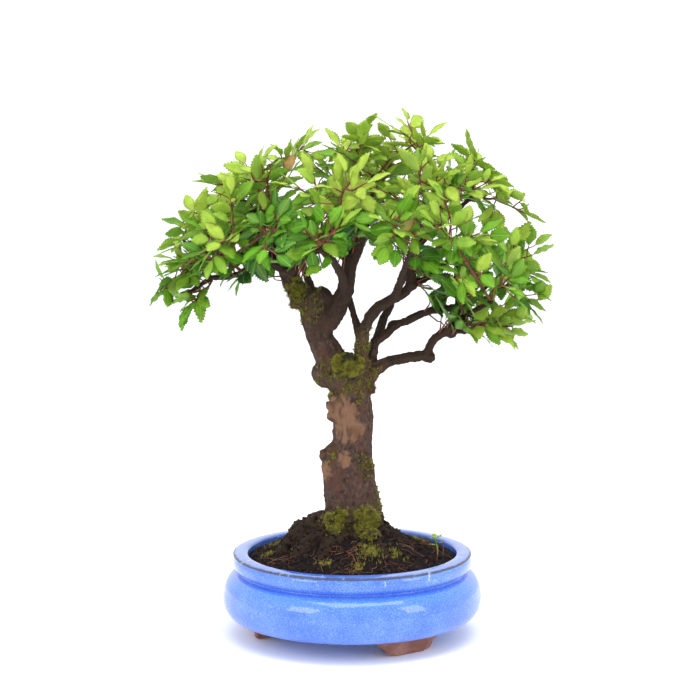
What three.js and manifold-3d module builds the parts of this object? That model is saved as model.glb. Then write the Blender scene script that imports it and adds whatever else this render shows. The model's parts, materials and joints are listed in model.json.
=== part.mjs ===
// A small-leaved elm bonsai in a round glazed pot on three cloud feet.
// Millimetres, +Z up. The origin is on the table, under the pot's axis.

import * as THREE from 'three';
import { mergeVertices } from 'three/addons/utils/BufferGeometryUtils.js';
import Module from 'manifold-3d';

const wasm = await Module();
wasm.setup();

// ---------------------------------------------------------------- driving sizes

// Pot: a bulging body, a narrow neck and a flat-topped rim.
const POT_RADIUS = 105;
const POT_HEIGHT = 67;
const RIM_INSET = 8.5;
const RIM_WIDTH = 12.5;
const RIM_FALL = 0.8;
const RIM_ROUNDING = 1.6;
const COLLAR_DEPTH = 15;
const NECK_INSET = 14;
const BELLY_SHARE = 0.46;
const UNDERSIDE_INSET = 12;
const POT_WALL = 7.5;
const POT_FLOOR = 7;
const DRAIN_RADIUS = 10;
const COLLAR_FLARE = 1;
const COLLAR_CURVE = 3;
const HOLLOW_EASE = 4;
const POT_FACETS = 48;

// Feet: three scrolled brackets of unglazed clay under the pot's flat underside.
const FOOT_HEIGHT = 15;
const FOOT_SPAN = 66;
const FOOT_SOLE = 28;
const FOOT_DEPTH = 15;
const FOOT_INSET = 10;
const FOOT_TAIL = 6.5;
const FOOT_LEAN = 2.5;
const FOOT_SCROLL = 8;
const FOOT_BENDS = 10;
const FOOT_DIRECTIONS = { foot_front_right: 35, foot_left: -85, foot_back: 155 };

// Plastic mesh over the drain hole.
const MESH_SIDE = 34;
const MESH_THICKNESS = 1;
const MESH_HOLE = 5;
const MESH_PITCH = 7.5;
const MESH_HOLES_PER_SIDE = 3;

// Soil: below the rim at the wall and mounded up to the trunk.
const SOIL_DROP = 5.5;
const SOIL_MOUND = 11.5;
const SOIL_LUMP = 1.1;
const SOIL_CLEARANCE = 0.4;

// Tree: overall size, and thickness of its wood against the limb table below.
const TREE_HEIGHT = 348;
const CROWN_WIDTH = 326;
const WOOD_THICKNESS = 1;
const ROOT_WALL_GAP = 19;
const TOUCH_GAP = 0.3;
const MOSS_THICKNESS = 2.6;

// Leafy shoots.
const TWIG_BASE_RADIUS = 1.3;
const TWIG_TIP_RADIUS = 0.6;
const TWIGLET_RADIUS = 0.75;
const TWIG_ARCH = 0.09;
const TWIG_SWAY = 0.06;
const SHORTEST_TWIG = 30;
const TWIGLET_SHARE = 0.46;
const TWIGLET_ANGLE = 50;
const LEAF_LENGTH = 24;
const LEAF_WIDTH = 13;
const LEAF_CROWN = 1;
const LEAF_SPACING = 8.8;
const LEAF_ANGLE = 52;
const LEAF_SHOULDER = 0.45;
const LEAF_SEAT = 0.35;
const LEAF_STALK = 0.12;
const LEAF_TRIES = 14;

// ---------------------------------------------------------------- derived sizes

const RIM_RADIUS = POT_RADIUS - RIM_INSET;
const MOUTH_RADIUS = RIM_RADIUS - RIM_WIDTH;
const NECK_RADIUS = POT_RADIUS - NECK_INSET;
const NECK_HEIGHT = POT_HEIGHT - COLLAR_DEPTH;
const BELLY_HEIGHT = FOOT_HEIGHT + BELLY_SHARE * (NECK_HEIGHT - FOOT_HEIGHT);
const UNDERSIDE_RADIUS = POT_RADIUS - UNDERSIDE_INSET;
const FLOOR_HEIGHT = FOOT_HEIGHT + POT_FLOOR;
const SOIL_EDGE = POT_HEIGHT - SOIL_DROP;
const SOIL_CROWN = SOIL_EDGE + SOIL_MOUND;
const SOIL_RADIUS = MOUTH_RADIUS - SOIL_CLEARANCE;

// The limb table is drawn for a tree of this height, width and root reach.
const DRAWN_HEIGHT = 348;
const DRAWN_WIDTH = 326;
const DRAWN_ROOT_REACH = 64;
const ROOT_SPREAD = (SOIL_RADIUS - ROOT_WALL_GAP) / DRAWN_ROOT_REACH;
const MERGE_DISTANCE = 1e-5;

// ---------------------------------------------------------------- materials

function material(color, roughness) {
  return new THREE.MeshStandardMaterial({ color, roughness, metalness: 0 });
}

const GLAZE = material(0x7299ec, 0.15);
const BARE_CLAY = material(0x96604f, 0.85);
const MESH_PLASTIC = material(0x2b2f2c, 0.55);
const SOIL = material(0x33261e, 0.97);
const BARK = material(0x57453a, 0.92);
const MOSS = material(0x7d7a24, 0.98);
const SEEDLING = material(0xb7c96a, 0.6);
const LEAF_TONES = {
  young: material(0x9fc93a, 0.45),
  summer: material(0x6da52f, 0.45),
  shaded: material(0x3f7a3c, 0.5),
};

// ---------------------------------------------------------------- solids

function solidOf(geometry) {
  const bare = geometry.clone();
  bare.deleteAttribute('normal');
  bare.deleteAttribute('uv');
  const merged = mergeVertices(bare, MERGE_DISTANCE);
  return new wasm.Manifold(new wasm.Mesh({
    numProp: 3,
    vertProperties: new Float32Array(merged.attributes.position.array),
    triVerts: new Uint32Array(merged.index.array),
  }));
}

function geometryOf(solid) {
  const mesh = solid.getMesh();
  const geometry = new THREE.BufferGeometry();
  geometry.setAttribute('position', new THREE.BufferAttribute(mesh.vertProperties, 3));
  geometry.setIndex(new THREE.BufferAttribute(mesh.triVerts, 1));
  geometry.computeVertexNormals();
  return geometry;
}

function joined(solids) {
  return solids.reduce((whole, solid) => whole.add(solid));
}

// A closed body from corner points and faces given as triangles of corner numbers.
function facetedGeometry(corners, faces) {
  const geometry = new THREE.BufferGeometry();
  const flat = corners.flatMap((corner) => corner.toArray());
  geometry.setAttribute('position', new THREE.Float32BufferAttribute(flat, 3));
  geometry.setIndex(faces.flat());
  return geometry;
}

// A round bar along a route of [x, y, z, radius] points, with one ring at each point.
function barGeometry(route, sides, fatter = 0) {
  const steps = route.length - 1;
  const centres = route.map(([x, y, z]) => new THREE.Vector3(x, y, z));
  const rings = [];
  let across = null;
  centres.forEach((centre, i) => {
    const before = centres[Math.max(i - 1, 0)];
    const after = centres[Math.min(i + 1, steps)];
    const along = after.clone().sub(before).normalize();
    if (!across) {
      across = Math.abs(along.x) < 0.8 ? new THREE.Vector3(1, 0, 0) : new THREE.Vector3(0, 1, 0);
    }
    across = across.clone().addScaledVector(along, -across.dot(along)).normalize();
    rings.push({ centre, across, up: across.clone().cross(along), radius: route[i][3] + fatter });
  });
  const first = centres[1].clone().sub(centres[0]).normalize();
  const last = centres[steps].clone().sub(centres[steps - 1]).normalize();
  rings[0].centre = centres[0].clone().addScaledVector(first, -fatter);
  rings[steps].centre = centres[steps].clone().addScaledVector(last, fatter);
  const geometry = new THREE.CylinderGeometry(1, 1, 1, sides, steps);
  const position = geometry.attributes.position;
  for (let i = 0; i < position.count; i += 1) {
    const ring = rings[Math.round((position.getY(i) + 0.5) * steps)];
    const point = ring.centre.clone();
    point.addScaledVector(ring.across, position.getX(i) * ring.radius);
    point.addScaledVector(ring.up, position.getZ(i) * ring.radius);
    position.setXYZ(i, point.x, point.y, point.z);
  }
  return geometry;
}

const ROUND_KNOB = 8.5;

function knobGeometry([x, y, z, radius], fatter = 0) {
  const detail = radius > ROUND_KNOB ? 1 : 0;
  return new THREE.IcosahedronGeometry(radius + fatter, detail).translate(x, y, z);
}

// A steady pseudo-random share from 0 to 1 for the given whole numbers.
function share(...keys) {
  const mixed = keys.reduce((sum, key, i) => sum + (key + 1) * (12.9898 + 65.2431 * i), 0);
  const wave = Math.sin(mixed) * 43758.5453;
  return wave - Math.floor(wave);
}

function spread(amount, ...keys) {
  return (share(...keys) * 2 - 1) * amount;
}

// ---------------------------------------------------------------- pot

// Points on a quarter of an ellipse, from the start angle to the end angle in degrees.
function arc(centreR, centreZ, radiusR, radiusZ, from, to, steps) {
  return Array.from({ length: steps + 1 }, (_, i) => {
    const angle = THREE.MathUtils.degToRad(from + ((to - from) * i) / steps);
    return new THREE.Vector2(centreR + radiusR * Math.cos(angle), centreZ + radiusZ * Math.sin(angle));
  });
}

// The hollow inside the pot, from the mouth down to the floor, taken in by a clearance.
function hollowProfile(clearance) {
  const bellyInside = POT_RADIUS - POT_WALL - clearance;
  const neckInside = NECK_RADIUS - POT_WALL - clearance;
  const floorInside = UNDERSIDE_RADIUS - POT_WALL - clearance;
  return [
    new THREE.Vector2(neckInside, NECK_HEIGHT - clearance / 2),
    new THREE.Vector2(bellyInside - HOLLOW_EASE / 2, BELLY_HEIGHT + HOLLOW_EASE),
    new THREE.Vector2(bellyInside, BELLY_HEIGHT - HOLLOW_EASE),
    new THREE.Vector2(floorInside + HOLLOW_EASE / 2, FLOOR_HEIGHT + HOLLOW_EASE),
    new THREE.Vector2(floorInside - HOLLOW_EASE, FLOOR_HEIGHT),
  ];
}

function potGeometry() {
  const belly = BELLY_HEIGHT;
  const underEdge = UNDERSIDE_RADIUS;
  const rimEdge = POT_HEIGHT - RIM_FALL;
  const profile = [
    new THREE.Vector2(0, FOOT_HEIGHT),
    ...arc(underEdge, belly, POT_RADIUS - underEdge, belly - FOOT_HEIGHT, -90, 0, 4),
    ...arc(NECK_RADIUS, belly, POT_RADIUS - NECK_RADIUS, NECK_HEIGHT - belly, 0, 90, 4).slice(1),
    new THREE.Vector2(NECK_RADIUS + COLLAR_FLARE, NECK_HEIGHT + COLLAR_CURVE),
    new THREE.Vector2(RIM_RADIUS - COLLAR_FLARE, rimEdge - 2 * RIM_ROUNDING),
    new THREE.Vector2(RIM_RADIUS, rimEdge - RIM_ROUNDING),
    new THREE.Vector2(RIM_RADIUS - RIM_ROUNDING, rimEdge),
    new THREE.Vector2(MOUTH_RADIUS + RIM_ROUNDING, POT_HEIGHT),
    new THREE.Vector2(MOUTH_RADIUS, POT_HEIGHT - RIM_ROUNDING),
    ...hollowProfile(0),
    new THREE.Vector2(0, FLOOR_HEIGHT),
  ];
  const body = solidOf(latheAboutZ(profile));
  const drain = new THREE.CylinderGeometry(DRAIN_RADIUS, DRAIN_RADIUS, POT_FLOOR * 3, 24);
  drain.rotateX(Math.PI / 2).translate(0, 0, FOOT_HEIGHT + POT_FLOOR / 2);
  return geometryOf(body.subtract(solidOf(drain)));
}

// A turned body about +Z, from points of (radius, height).
function latheAboutZ(profile) {
  return new THREE.LatheGeometry(profile, POT_FACETS).rotateX(Math.PI / 2);
}

// One scrolled foot, drawn flat as an outline and then bent round the pot's axis.
function footGeometry(direction) {
  const half = FOOT_SPAN / 2;
  const sole = FOOT_SOLE / 2;
  const waist = (half + sole) / 2;
  const tail = FOOT_HEIGHT - FOOT_TAIL;
  const side = [
    [sole + FOOT_SCROLL, 0, waist, tail / 2],
    [waist + FOOT_SCROLL / 2, tail, half - FOOT_SCROLL / 2, tail],
    [half, tail, half, FOOT_HEIGHT],
  ];
  const outline = new THREE.Shape();
  outline.moveTo(-sole, 0);
  outline.lineTo(sole, 0);
  side.forEach(([bendX, bendY, x, y]) => outline.quadraticCurveTo(bendX, bendY, x, y));
  for (let i = 1; i <= FOOT_BENDS; i += 1) {
    outline.lineTo(half - (FOOT_SPAN * i) / FOOT_BENDS, FOOT_HEIGHT);
  }
  side.slice().reverse().forEach(([bendX, bendY], i) => {
    const [x, y] = i < 2 ? side[1 - i].slice(2) : [sole, 0];
    outline.quadraticCurveTo(-bendX, bendY, -x, y);
  });
  const options = { depth: FOOT_DEPTH, bevelEnabled: false, curveSegments: 3 };
  const geometry = new THREE.ExtrudeGeometry(outline, options);
  const outer = UNDERSIDE_RADIUS - FOOT_INSET;
  const position = geometry.attributes.position;
  for (let i = 0; i < position.count; i += 1) {
    const angle = THREE.MathUtils.degToRad(direction) + position.getX(i) / outer;
    const outwards = position.getZ(i) / FOOT_DEPTH;
    const lean = FOOT_LEAN * (1 - position.getY(i) / FOOT_HEIGHT);
    const radius = outer - FOOT_DEPTH * (1 - outwards) - lean * outwards;
    position.setXYZ(i, radius * Math.sin(angle), -radius * Math.cos(angle), position.getY(i));
  }
  return geometry;
}

// A square plastic sheet with a grid of square holes.
function drainageMeshGeometry() {
  const box = (x, y, side, depth) => (
    solidOf(new THREE.BoxGeometry(side, side, depth).translate(x, y, 0))
  );
  const middle = (MESH_HOLES_PER_SIDE - 1) / 2;
  let sheet = box(0, 0, MESH_SIDE, MESH_THICKNESS);
  for (let column = 0; column < MESH_HOLES_PER_SIDE; column += 1) {
    for (let row = 0; row < MESH_HOLES_PER_SIDE; row += 1) {
      const x = (column - middle) * MESH_PITCH;
      const y = (row - middle) * MESH_PITCH;
      sheet = sheet.subtract(box(x, y, MESH_HOLE, 2 * MESH_THICKNESS));
    }
  }
  return geometryOf(sheet).translate(0, 0, FLOOR_HEIGHT + MESH_THICKNESS / 2);
}

// ---------------------------------------------------------------- wood

// Every route is drawn from the soil at the trunk (z = 0), as [x, y, z, radius].
const TRUNK_ROUTE = [
  [0, 0, -26, 20], [0, 0, -8, 26], [1, 0, 10, 25], [1, 0, 22, 24], [0, 0, 35, 22.4],
  [-2, 0, 51, 21.2], [-4, 0, 64, 21.4], [-3, 0, 71, 20.4], [0, 0, 79, 16.8], [1, 0, 91, 16],
  [1, 0, 103, 16.6], [0, 0, 117, 15.2], [-2, 0, 128, 16.8], [-6, 0, 138, 17], [-12, 0, 149, 13.6],
];

const LIMBS = {
  leader: [[-9, 0, 140, 13], [-19, 0, 153, 12.4], [-25, 0, 166, 11], [-28, 0, 179, 12],
    [-30, 0, 192, 12.4], [-34, 0, 203, 9.8]],
  leader_left: [[-30, 0, 190, 10], [-41, 0, 200, 9], [-48, 0, 212, 8], [-54, 0, 227, 7],
    [-56, 0, 244, 5.6], [-60, 2, 262, 4.2], [-66, 4, 280, 3]],
  leader_right: [[-21, -2, 178, 9.6], [-12, -5, 190, 8.6], [-5, -8, 205, 7], [-2, -10, 225, 6],
    [4, -10, 238, 5.2], [10, -6, 258, 4.2], [14, 0, 278, 3.4], [18, 0, 296, 2.6]],
  left_low: [[-50, 0, 218, 4.8], [-65, -5, 227, 3.6], [-77, -5, 225, 3.3], [-88, -8, 218, 3.1],
    [-101, -8, 215, 2.9], [-111, -8, 215, 2.6], [-126, -8, 205, 2.1], [-134, -8, 199, 1.7]],
  left_middle: [[-52, 0, 232, 4.4], [-72, 5, 231, 3.3], [-92, 5, 231, 2.8], [-110, 5, 227, 2.4],
    [-124, 8, 226, 1.8]],
  left_high: [[-55, 0, 238, 4.6], [-72, 5, 250, 3.7], [-89, 5, 250, 3.1], [-113, 5, 240, 2.4],
    [-126, 5, 238, 1.8]],
  left_back: [[-68, 4, 249, 3.4], [-80, 24, 256, 2.9], [-92, 44, 258, 2.5], [-102, 60, 256, 1.9]],
  left_front: [[-70, -5, 227, 3.2], [-80, -24, 232, 2.8], [-92, -44, 236, 2.4], [-102, -58, 236, 1.9]],
  left_top: [[-57, 0, 246, 4.2], [-70, -8, 262, 3.3], [-84, -10, 274, 2.6], [-95, -8, 284, 1.9]],
  upright: [[2, -2, 128, 9], [8, -5, 146, 7], [7, -6, 159, 6], [9, -8, 173, 5.4], [14, -8, 184, 5.2],
    [21, -8, 192, 5], [32, -8, 198, 4.8], [43, -8, 204, 4.6], [47, -8, 211, 4.6], [47, -8, 223, 4.2],
    [46, -8, 234, 4], [52, -8, 242, 3.7], [60, -8, 252, 3.4], [70, -4, 270, 2.8], [78, 0, 288, 2.1]],
  upright_side: [[45, -8, 210, 3.6], [57, -5, 213, 3], [67, 0, 219, 2.6], [76, 0, 228, 2.2],
    [88, 0, 242, 1.7]],
  thin: [[8, -5, 160, 4.4], [2, 3, 183, 3.3], [-2, 5, 195, 3.1], [-5, 8, 207, 3], [-6, 12, 224, 2.7],
    [-4, 18, 242, 2.3], [0, 26, 260, 1.8]],
  middle: [[8, 1, 132, 8], [15, 6, 146, 5.6], [17, 8, 157, 4.8], [19, 8, 163, 4.5], [27, 10, 168, 4.3],
    [34, 10, 176, 4.1], [43, 10, 178, 3.9], [54, 10, 184, 3.7], [66, 10, 188, 3.3], [78, 10, 189, 3],
    [88, 10, 192, 2.8], [102, 14, 200, 2.3], [114, 18, 212, 1.7]],
  middle_back: [[64, 10, 187, 3.2], [76, 28, 198, 2.7], [90, 46, 208, 2.3], [102, 62, 214, 1.8]],
  low: [[6, 0, 126, 9], [18, 0, 141, 6.8], [30, 0, 148, 5.2], [43, 0, 150, 4.8], [54, 0, 152, 4.7],
    [59, 0, 153, 4.7], [62, 0, 160, 4.3], [66, 0, 166, 4.1], [75, 0, 172, 3.7], [83, 0, 179, 3.3],
    [84, 0, 189, 3], [84, 0, 198, 2.8], [83, 0, 209, 2.5], [82, -4, 226, 1.9]],
  low_side: [[78, 0, 173, 3], [90, 0, 171, 2.4], [102, 0, 177, 2.1], [115, 0, 184, 1.9], [127, 0, 187, 1.5]],
  low_front: [[73, 0, 171, 3], [84, -18, 182, 2.5], [96, -36, 192, 2.2], [108, -52, 200, 1.7]],
  back_left: [[-22, 2, 168, 7], [-26, 18, 186, 5], [-34, 38, 204, 4.2], [-40, 58, 220, 3.4],
    [-46, 78, 232, 2.8], [-50, 96, 240, 2]],
  back_right: [[19, 8, 161, 4.4], [26, 26, 180, 4], [36, 46, 198, 3.5], [44, 66, 212, 3],
    [50, 86, 224, 2.4], [52, 102, 232, 1.8]],
  back_top: [[-4, -8, 206, 5.4], [-2, 10, 226, 4], [2, 30, 246, 3.3], [6, 50, 264, 2.6], [12, 68, 278, 1.9]],
  front_left: [[-5, -8, 204, 5], [-8, -26, 218, 3.8], [-14, -46, 230, 3.2], [-22, -66, 238, 2.6],
    [-28, -86, 244, 1.9]],
  front_right: [[34, -8, 199, 4], [37, -26, 212, 3.3], [40, -46, 224, 2.8], [43, -66, 234, 2.4],
    [46, -86, 242, 1.8]],
  top_right: [[48, -8, 236, 3.8], [64, 4, 252, 3], [84, 10, 268, 2.5], [98, 12, 280, 1.8]],
};

// Surface roots: they leave the flare, knuckle over and dive into the soil.
const ROOTS = [
  [[-8, -3, 16, 15], [-26, -8, 17, 11.5], [-38, -12, 13, 9.5], [-47, -16, 4, 8.5], [-57, -20, -9, 6]],
  [[8, -2, 14, 16], [20, -2, 10, 12], [31, -4, 4, 9.5], [43, -6, -2, 7.5], [56, -8, -12, 5]],
  [[-6, -10, 10, 14], [-14, -26, 6, 9], [-22, -40, 0, 6.5], [-28, -56, -10, 4]],
  [[8, -10, 8, 14], [16, -26, 4, 9], [25, -38, -2, 6.5], [33, -50, -11, 4]],
  [[-8, -8, 12, 14], [-26, -20, 10, 9.5], [-38, -31, 2, 7], [-48, -42, -10, 4.5]],
  [[-8, 10, 10, 14], [-20, 26, 6, 9], [-30, 38, -1, 6.5], [-40, 50, -11, 4.5]],
  [[8, 10, 10, 14], [20, 26, 6, 9], [31, 36, -1, 6.5], [44, 46, -12, 4.5]],
  [[0, 12, 8, 13], [2, 30, 4, 8], [2, 44, -3, 6], [0, 58, -12, 4]],
];

// Burrs, pruning scars and swollen elbows.
const KNOBS = [
  [-17, -2, 112, 5.4], [-16, -4, 104, 4.8], [-20, -5, 72, 7], [15, -4, 125, 5], [-21, 0, 138, 12],
  [-15, -10, 120, 5], [12, -9, 62, 7], [-10, -14, 44, 7], [12, 12, 52, 7], [-12, 13, 88, 5],
  [-33, -16, 17, 7], [-20, -16, 20, 8], [16, -15, 22, 7], [62, 0, 151, 5.8], [79, 0, 170, 4.8],
  [47, -8, 209, 5.6], [33, 10, 175, 5], [-49, -4, 220, 8], [-24, -2, 199, 9],
];
const STUB = [[-32, -2, 194, 6.5], [-42, -3, 194.5, 5.6], [-49, -3, 194, 4.6]];

function grown([x, y, z, radius]) {
  const wide = CROWN_WIDTH / DRAWN_WIDTH;
  const high = TREE_HEIGHT / DRAWN_HEIGHT;
  return [x * wide, y * wide, z * high, radius * WOOD_THICKNESS];
}

function rooted([x, y, z, radius]) {
  return [x * ROOT_SPREAD, y * ROOT_SPREAD, z, radius * WOOD_THICKNESS];
}

const GROWN_LIMBS = Object.values(LIMBS).map((route) => route.map(grown));

const TRUNK_SIDES = 13;
const STOUT_SIDES = 9;
const ROOT_SIDES = 6;
const SLIM_SIDES = 5;
const TWIG_SIDES = 4;
const STOUT = 8;

// The bars and knobs that make the wood, each grown fatter by the same amount.
function woodPieces(fatter) {
  const sidesFor = (route) => (route[1][3] > STOUT ? STOUT_SIDES : SLIM_SIDES);
  return [
    solidOf(barGeometry(TRUNK_ROUTE.map(grown), TRUNK_SIDES, fatter)),
    solidOf(barGeometry(STUB.map(grown), ROOT_SIDES, fatter)),
    ...GROWN_LIMBS.map((route) => solidOf(barGeometry(route, sidesFor(route), fatter))),
    ...ROOTS.map((route) => solidOf(barGeometry(route.map(rooted), ROOT_SIDES, fatter))),
    ...KNOBS.map((knob) => solidOf(knobGeometry(grown(knob), fatter))),
  ];
}

const WOOD = joined(woodPieces(0));
const WOOD_AND_GAP = joined(woodPieces(TOUCH_GAP));
const WOOD_AND_MOSS = joined(woodPieces(MOSS_THICKNESS));

// Moss cushions on the bark, as [x, y, z, radius across, radius up].
const MOSS_PADS = {
  root_moss_left: [-13, -30, 26, 12, 13],
  root_moss_right: [14, -30, 24, 15, 16],
  fork_moss: [-3, -18, 146, 15, 12],
  limb_moss: [-43, -13, 205, 10, 12],
};

function mossPads() {
  return Object.entries(MOSS_PADS).map(([name, [x, y, z, across, up]]) => {
    const place = grown([x, y, z, 1]);
    const blob = new THREE.IcosahedronGeometry(1, 1).scale(across, across, up);
    blob.translate(place[0], place[1], place[2]);
    const pad = WOOD_AND_MOSS.intersect(solidOf(blob)).subtract(WOOD_AND_GAP);
    return [name, pad];
  });
}

// ---------------------------------------------------------------- soil

// Height of the soil at a place, from the wall's level up to the mound round the trunk.
function soilHeight(x, y) {
  const out = Math.min(Math.hypot(x, y) / SOIL_RADIUS, 1);
  const mound = SOIL_MOUND * (1 - out ** 2.2);
  const lumps = SOIL_LUMP * Math.sin(x / 9.3 + 1) * Math.cos(y / 7.7) * (1 - out ** 6);
  return SOIL_EDGE + mound + lumps;
}

const SOIL_RINGS = [0.94, 0.76, 0.56, 0.34];

function soilSolid(wood) {
  const profile = [
    new THREE.Vector2(0, FLOOR_HEIGHT),
    ...hollowProfile(SOIL_CLEARANCE).reverse(),
    new THREE.Vector2(SOIL_RADIUS, SOIL_EDGE),
    ...SOIL_RINGS.map((ring) => new THREE.Vector2(SOIL_RADIUS * ring, SOIL_EDGE + 1)),
    new THREE.Vector2(0, SOIL_EDGE + 1),
  ];
  const geometry = latheAboutZ(profile);
  const position = geometry.attributes.position;
  for (let i = 0; i < position.count; i += 1) {
    if (position.getZ(i) > SOIL_EDGE + 0.5) {
      position.setZ(i, soilHeight(position.getX(i), position.getY(i)));
    }
  }
  const side = MESH_SIDE + 2 * TOUCH_GAP;
  const recess = new THREE.BoxGeometry(side, side, 2 * (MESH_THICKNESS + TOUCH_GAP));
  recess.translate(0, 0, FLOOR_HEIGHT);
  const soil = solidOf(geometry).subtract(solidOf(recess));
  return soil.subtract(wood.translate([0, 0, SOIL_CROWN]));
}

// ---------------------------------------------------------------- leafy shoots

// Where each shoot's tip stands, in the frame of the limb table, and how green it is.
const SHOOTS = {
  left_01: [-146, -8, 206, 'summer'],
  left_02: [-128, -16, 192, 'summer'],
  left_03: [-141, 6, 228, 'young'],
  left_04: [-134, -24, 246, 'summer'],
  left_05: [-126, 10, 266, 'young'],
  left_06: [-108, -12, 288, 'summer'],
  left_07: [-84, 0, 304, 'summer'],
  left_08: [-112, -66, 238, 'shaded'],
  left_09: [-88, -92, 250, 'summer'],
  left_10: [-92, -56, 276, 'summer'],
  left_11: [-62, -48, 300, 'summer'],
  left_12: [-116, 62, 250, 'shaded'],
  left_13: [-92, 88, 256, 'shaded'],
  left_14: [-88, 48, 290, 'summer'],
  left_15: [-82, -36, 220, 'shaded'],
  top_01: [-38, 4, 318, 'summer'],
  top_02: [-12, -14, 314, 'summer'],
  top_03: [10, 0, 332, 'young'],
  top_04: [30, -6, 334, 'young'],
  top_05: [-30, -66, 296, 'summer'],
  top_06: [-46, -100, 256, 'shaded'],
  top_07: [-12, -116, 254, 'summer'],
  top_08: [4, -78, 298, 'young'],
  top_09: [24, -112, 264, 'summer'],
  top_10: [-30, 58, 302, 'summer'],
  top_11: [-54, 102, 256, 'shaded'],
  top_12: [-12, 112, 262, 'shaded'],
  top_13: [8, 72, 308, 'summer'],
  top_14: [26, 108, 266, 'shaded'],
  top_15: [-28, -36, 246, 'shaded'],
  right_01: [60, 4, 326, 'young'],
  right_02: [93, -5, 312, 'summer'],
  right_03: [114, 4, 290, 'summer'],
  right_04: [134, -8, 266, 'young'],
  right_05: [144, 6, 232, 'summer'],
  right_06: [140, -6, 198, 'summer'],
  right_07: [124, -18, 174, 'young'],
  right_08: [104, -30, 178, 'young'],
  right_09: [52, -64, 304, 'young'],
  right_10: [84, -58, 286, 'summer'],
  right_11: [60, -106, 262, 'summer'],
  right_12: [92, -88, 248, 'summer'],
  right_13: [118, -60, 226, 'summer'],
  right_14: [52, 62, 306, 'summer'],
  right_15: [90, 64, 280, 'shaded'],
  right_16: [62, 106, 262, 'shaded'],
  right_17: [110, 78, 236, 'shaded'],
  right_18: [84, -44, 208, 'summer'],
};

// The middle of the crown: leaves turn their faces up and away from it.
const CROWN_HEART = new THREE.Vector3(...grown([0, 0, 205, 0]));

// Solids that later leaves and twigs have to stay clear of, with their boxes.
const standing = woodPieces(0).map(withBox);

function withBox(solid) {
  return { solid, box: solid.boundingBox() };
}

function boxesMeet(a, b) {
  return [0, 1, 2].every((axis) => a.min[axis] <= b.max[axis] && b.min[axis] <= a.max[axis]);
}

function isClear(solid, others) {
  const box = solid.boundingBox();
  return others.every((other) => !boxesMeet(box, other.box) || solid.intersect(other.solid).isEmpty());
}

// Shares of each limb step at which a shoot can sit.
const SEATS_PER_STEP = [0.2, 0.5, 0.8];

// Every place along the limbs that can bear a shoot, with the limb's direction and radius there.
const SEATS = GROWN_LIMBS.flatMap((route) => route.slice(1).flatMap((end, i) => {
  const start = route[i];
  const from = new THREE.Vector3(...start.slice(0, 3));
  const to = new THREE.Vector3(...end.slice(0, 3));
  const along = to.clone().sub(from).normalize();
  return SEATS_PER_STEP.map((part) => ({
    point: from.clone().lerp(to, part),
    along,
    radius: THREE.MathUtils.lerp(start[3], end[3], part),
  }));
}));

const SLENDER = 7.5;
const LOOSEST_SEAT = 0.6;
const SEAT_STEP = 0.1;
const SHALLOWEST_SEAT = 0.5;
const SIDEWAYS_COST = 0.35;

// The seats that suit a shoot, best first: near its tip, with the limb growing towards it.
function seatsFor(tip) {
  const suited = [];
  SEATS.forEach((seat) => {
    const reach = tip.clone().sub(seat.point);
    const length = reach.length();
    const forward = reach.dot(seat.along) / length;
    const slant = Math.sqrt(1 - forward ** 2);
    if (length > SHORTEST_TWIG && slant > SHALLOWEST_SEAT && seat.radius < SLENDER) {
      const cost = length * (1 + SIDEWAYS_COST * (1 - forward));
      suited.push({ ...seat, slant, reach: reach.normalize(), cost });
    }
  });
  return suited.sort((a, b) => a.cost - b.cost);
}

// The main twig's route, from its foot on the limb to the shoot's tip, arched a little upwards.
function twigRoute(seat, tip, index, gap) {
  const lift = (seat.radius + gap + TWIG_BASE_RADIUS * Math.sqrt(1 - seat.slant ** 2)) / seat.slant;
  const foot = seat.point.clone().addScaledVector(seat.reach, lift);
  const length = foot.distanceTo(tip);
  return [0, 1 / 3, 2 / 3, 1].map((part, step) => {
    const arch = Math.sin(Math.PI * part) * length;
    const point = foot.clone().lerp(tip, part);
    point.z += arch * TWIG_ARCH;
    point.x += arch * spread(TWIG_SWAY, index, step, 1);
    point.y += arch * spread(TWIG_SWAY, index, step, 2);
    return [...point.toArray(), THREE.MathUtils.lerp(TWIG_BASE_RADIUS, TWIG_TIP_RADIUS, part)];
  });
}

// The route that stands closest to the limb's bark without touching it, or null if none is free.
function seatedRoute(seat, tip, index) {
  for (let gap = -seat.radius; gap <= LOOSEST_SEAT; gap += SEAT_STEP) {
    const route = twigRoute(seat, tip, index, gap);
    if (isClear(solidOf(barGeometry(route, TWIG_SIDES, TOUCH_GAP)), standing)) {
      return route;
    }
  }
  return null;
}

// The point, radius and direction at a share of the way along a route.
function along(route, part) {
  const steps = route.length - 1;
  const step = Math.min(Math.floor(part * steps), steps - 1);
  const from = new THREE.Vector3(...route[step].slice(0, 3));
  const to = new THREE.Vector3(...route[step + 1].slice(0, 3));
  const rest = part * steps - step;
  const radius = THREE.MathUtils.lerp(route[step][3], route[step + 1][3], rest);
  return { point: from.clone().lerp(to, rest), radius, heading: to.sub(from).normalize() };
}

// A heading turned sideways from a twig, in the plane that faces the given way.
function turned(heading, facing, degrees) {
  const angle = THREE.MathUtils.degToRad(degrees);
  const sideways = heading.clone().cross(facing).normalize();
  return heading.clone().multiplyScalar(Math.cos(angle)).addScaledVector(sideways, Math.sin(angle));
}

// Where the two twiglets leave the main twig.
const TWIGLET_FORKS = [0.34, 0.6];
const TWIGLET_TAPER = 0.35;

// How far a shoot's leaves look up and outwards, and how much they differ.
const FACING_UP = 0.62;
const FACING_OUT = 0.75;
const FACING_SPREAD = 0.4;

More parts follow.
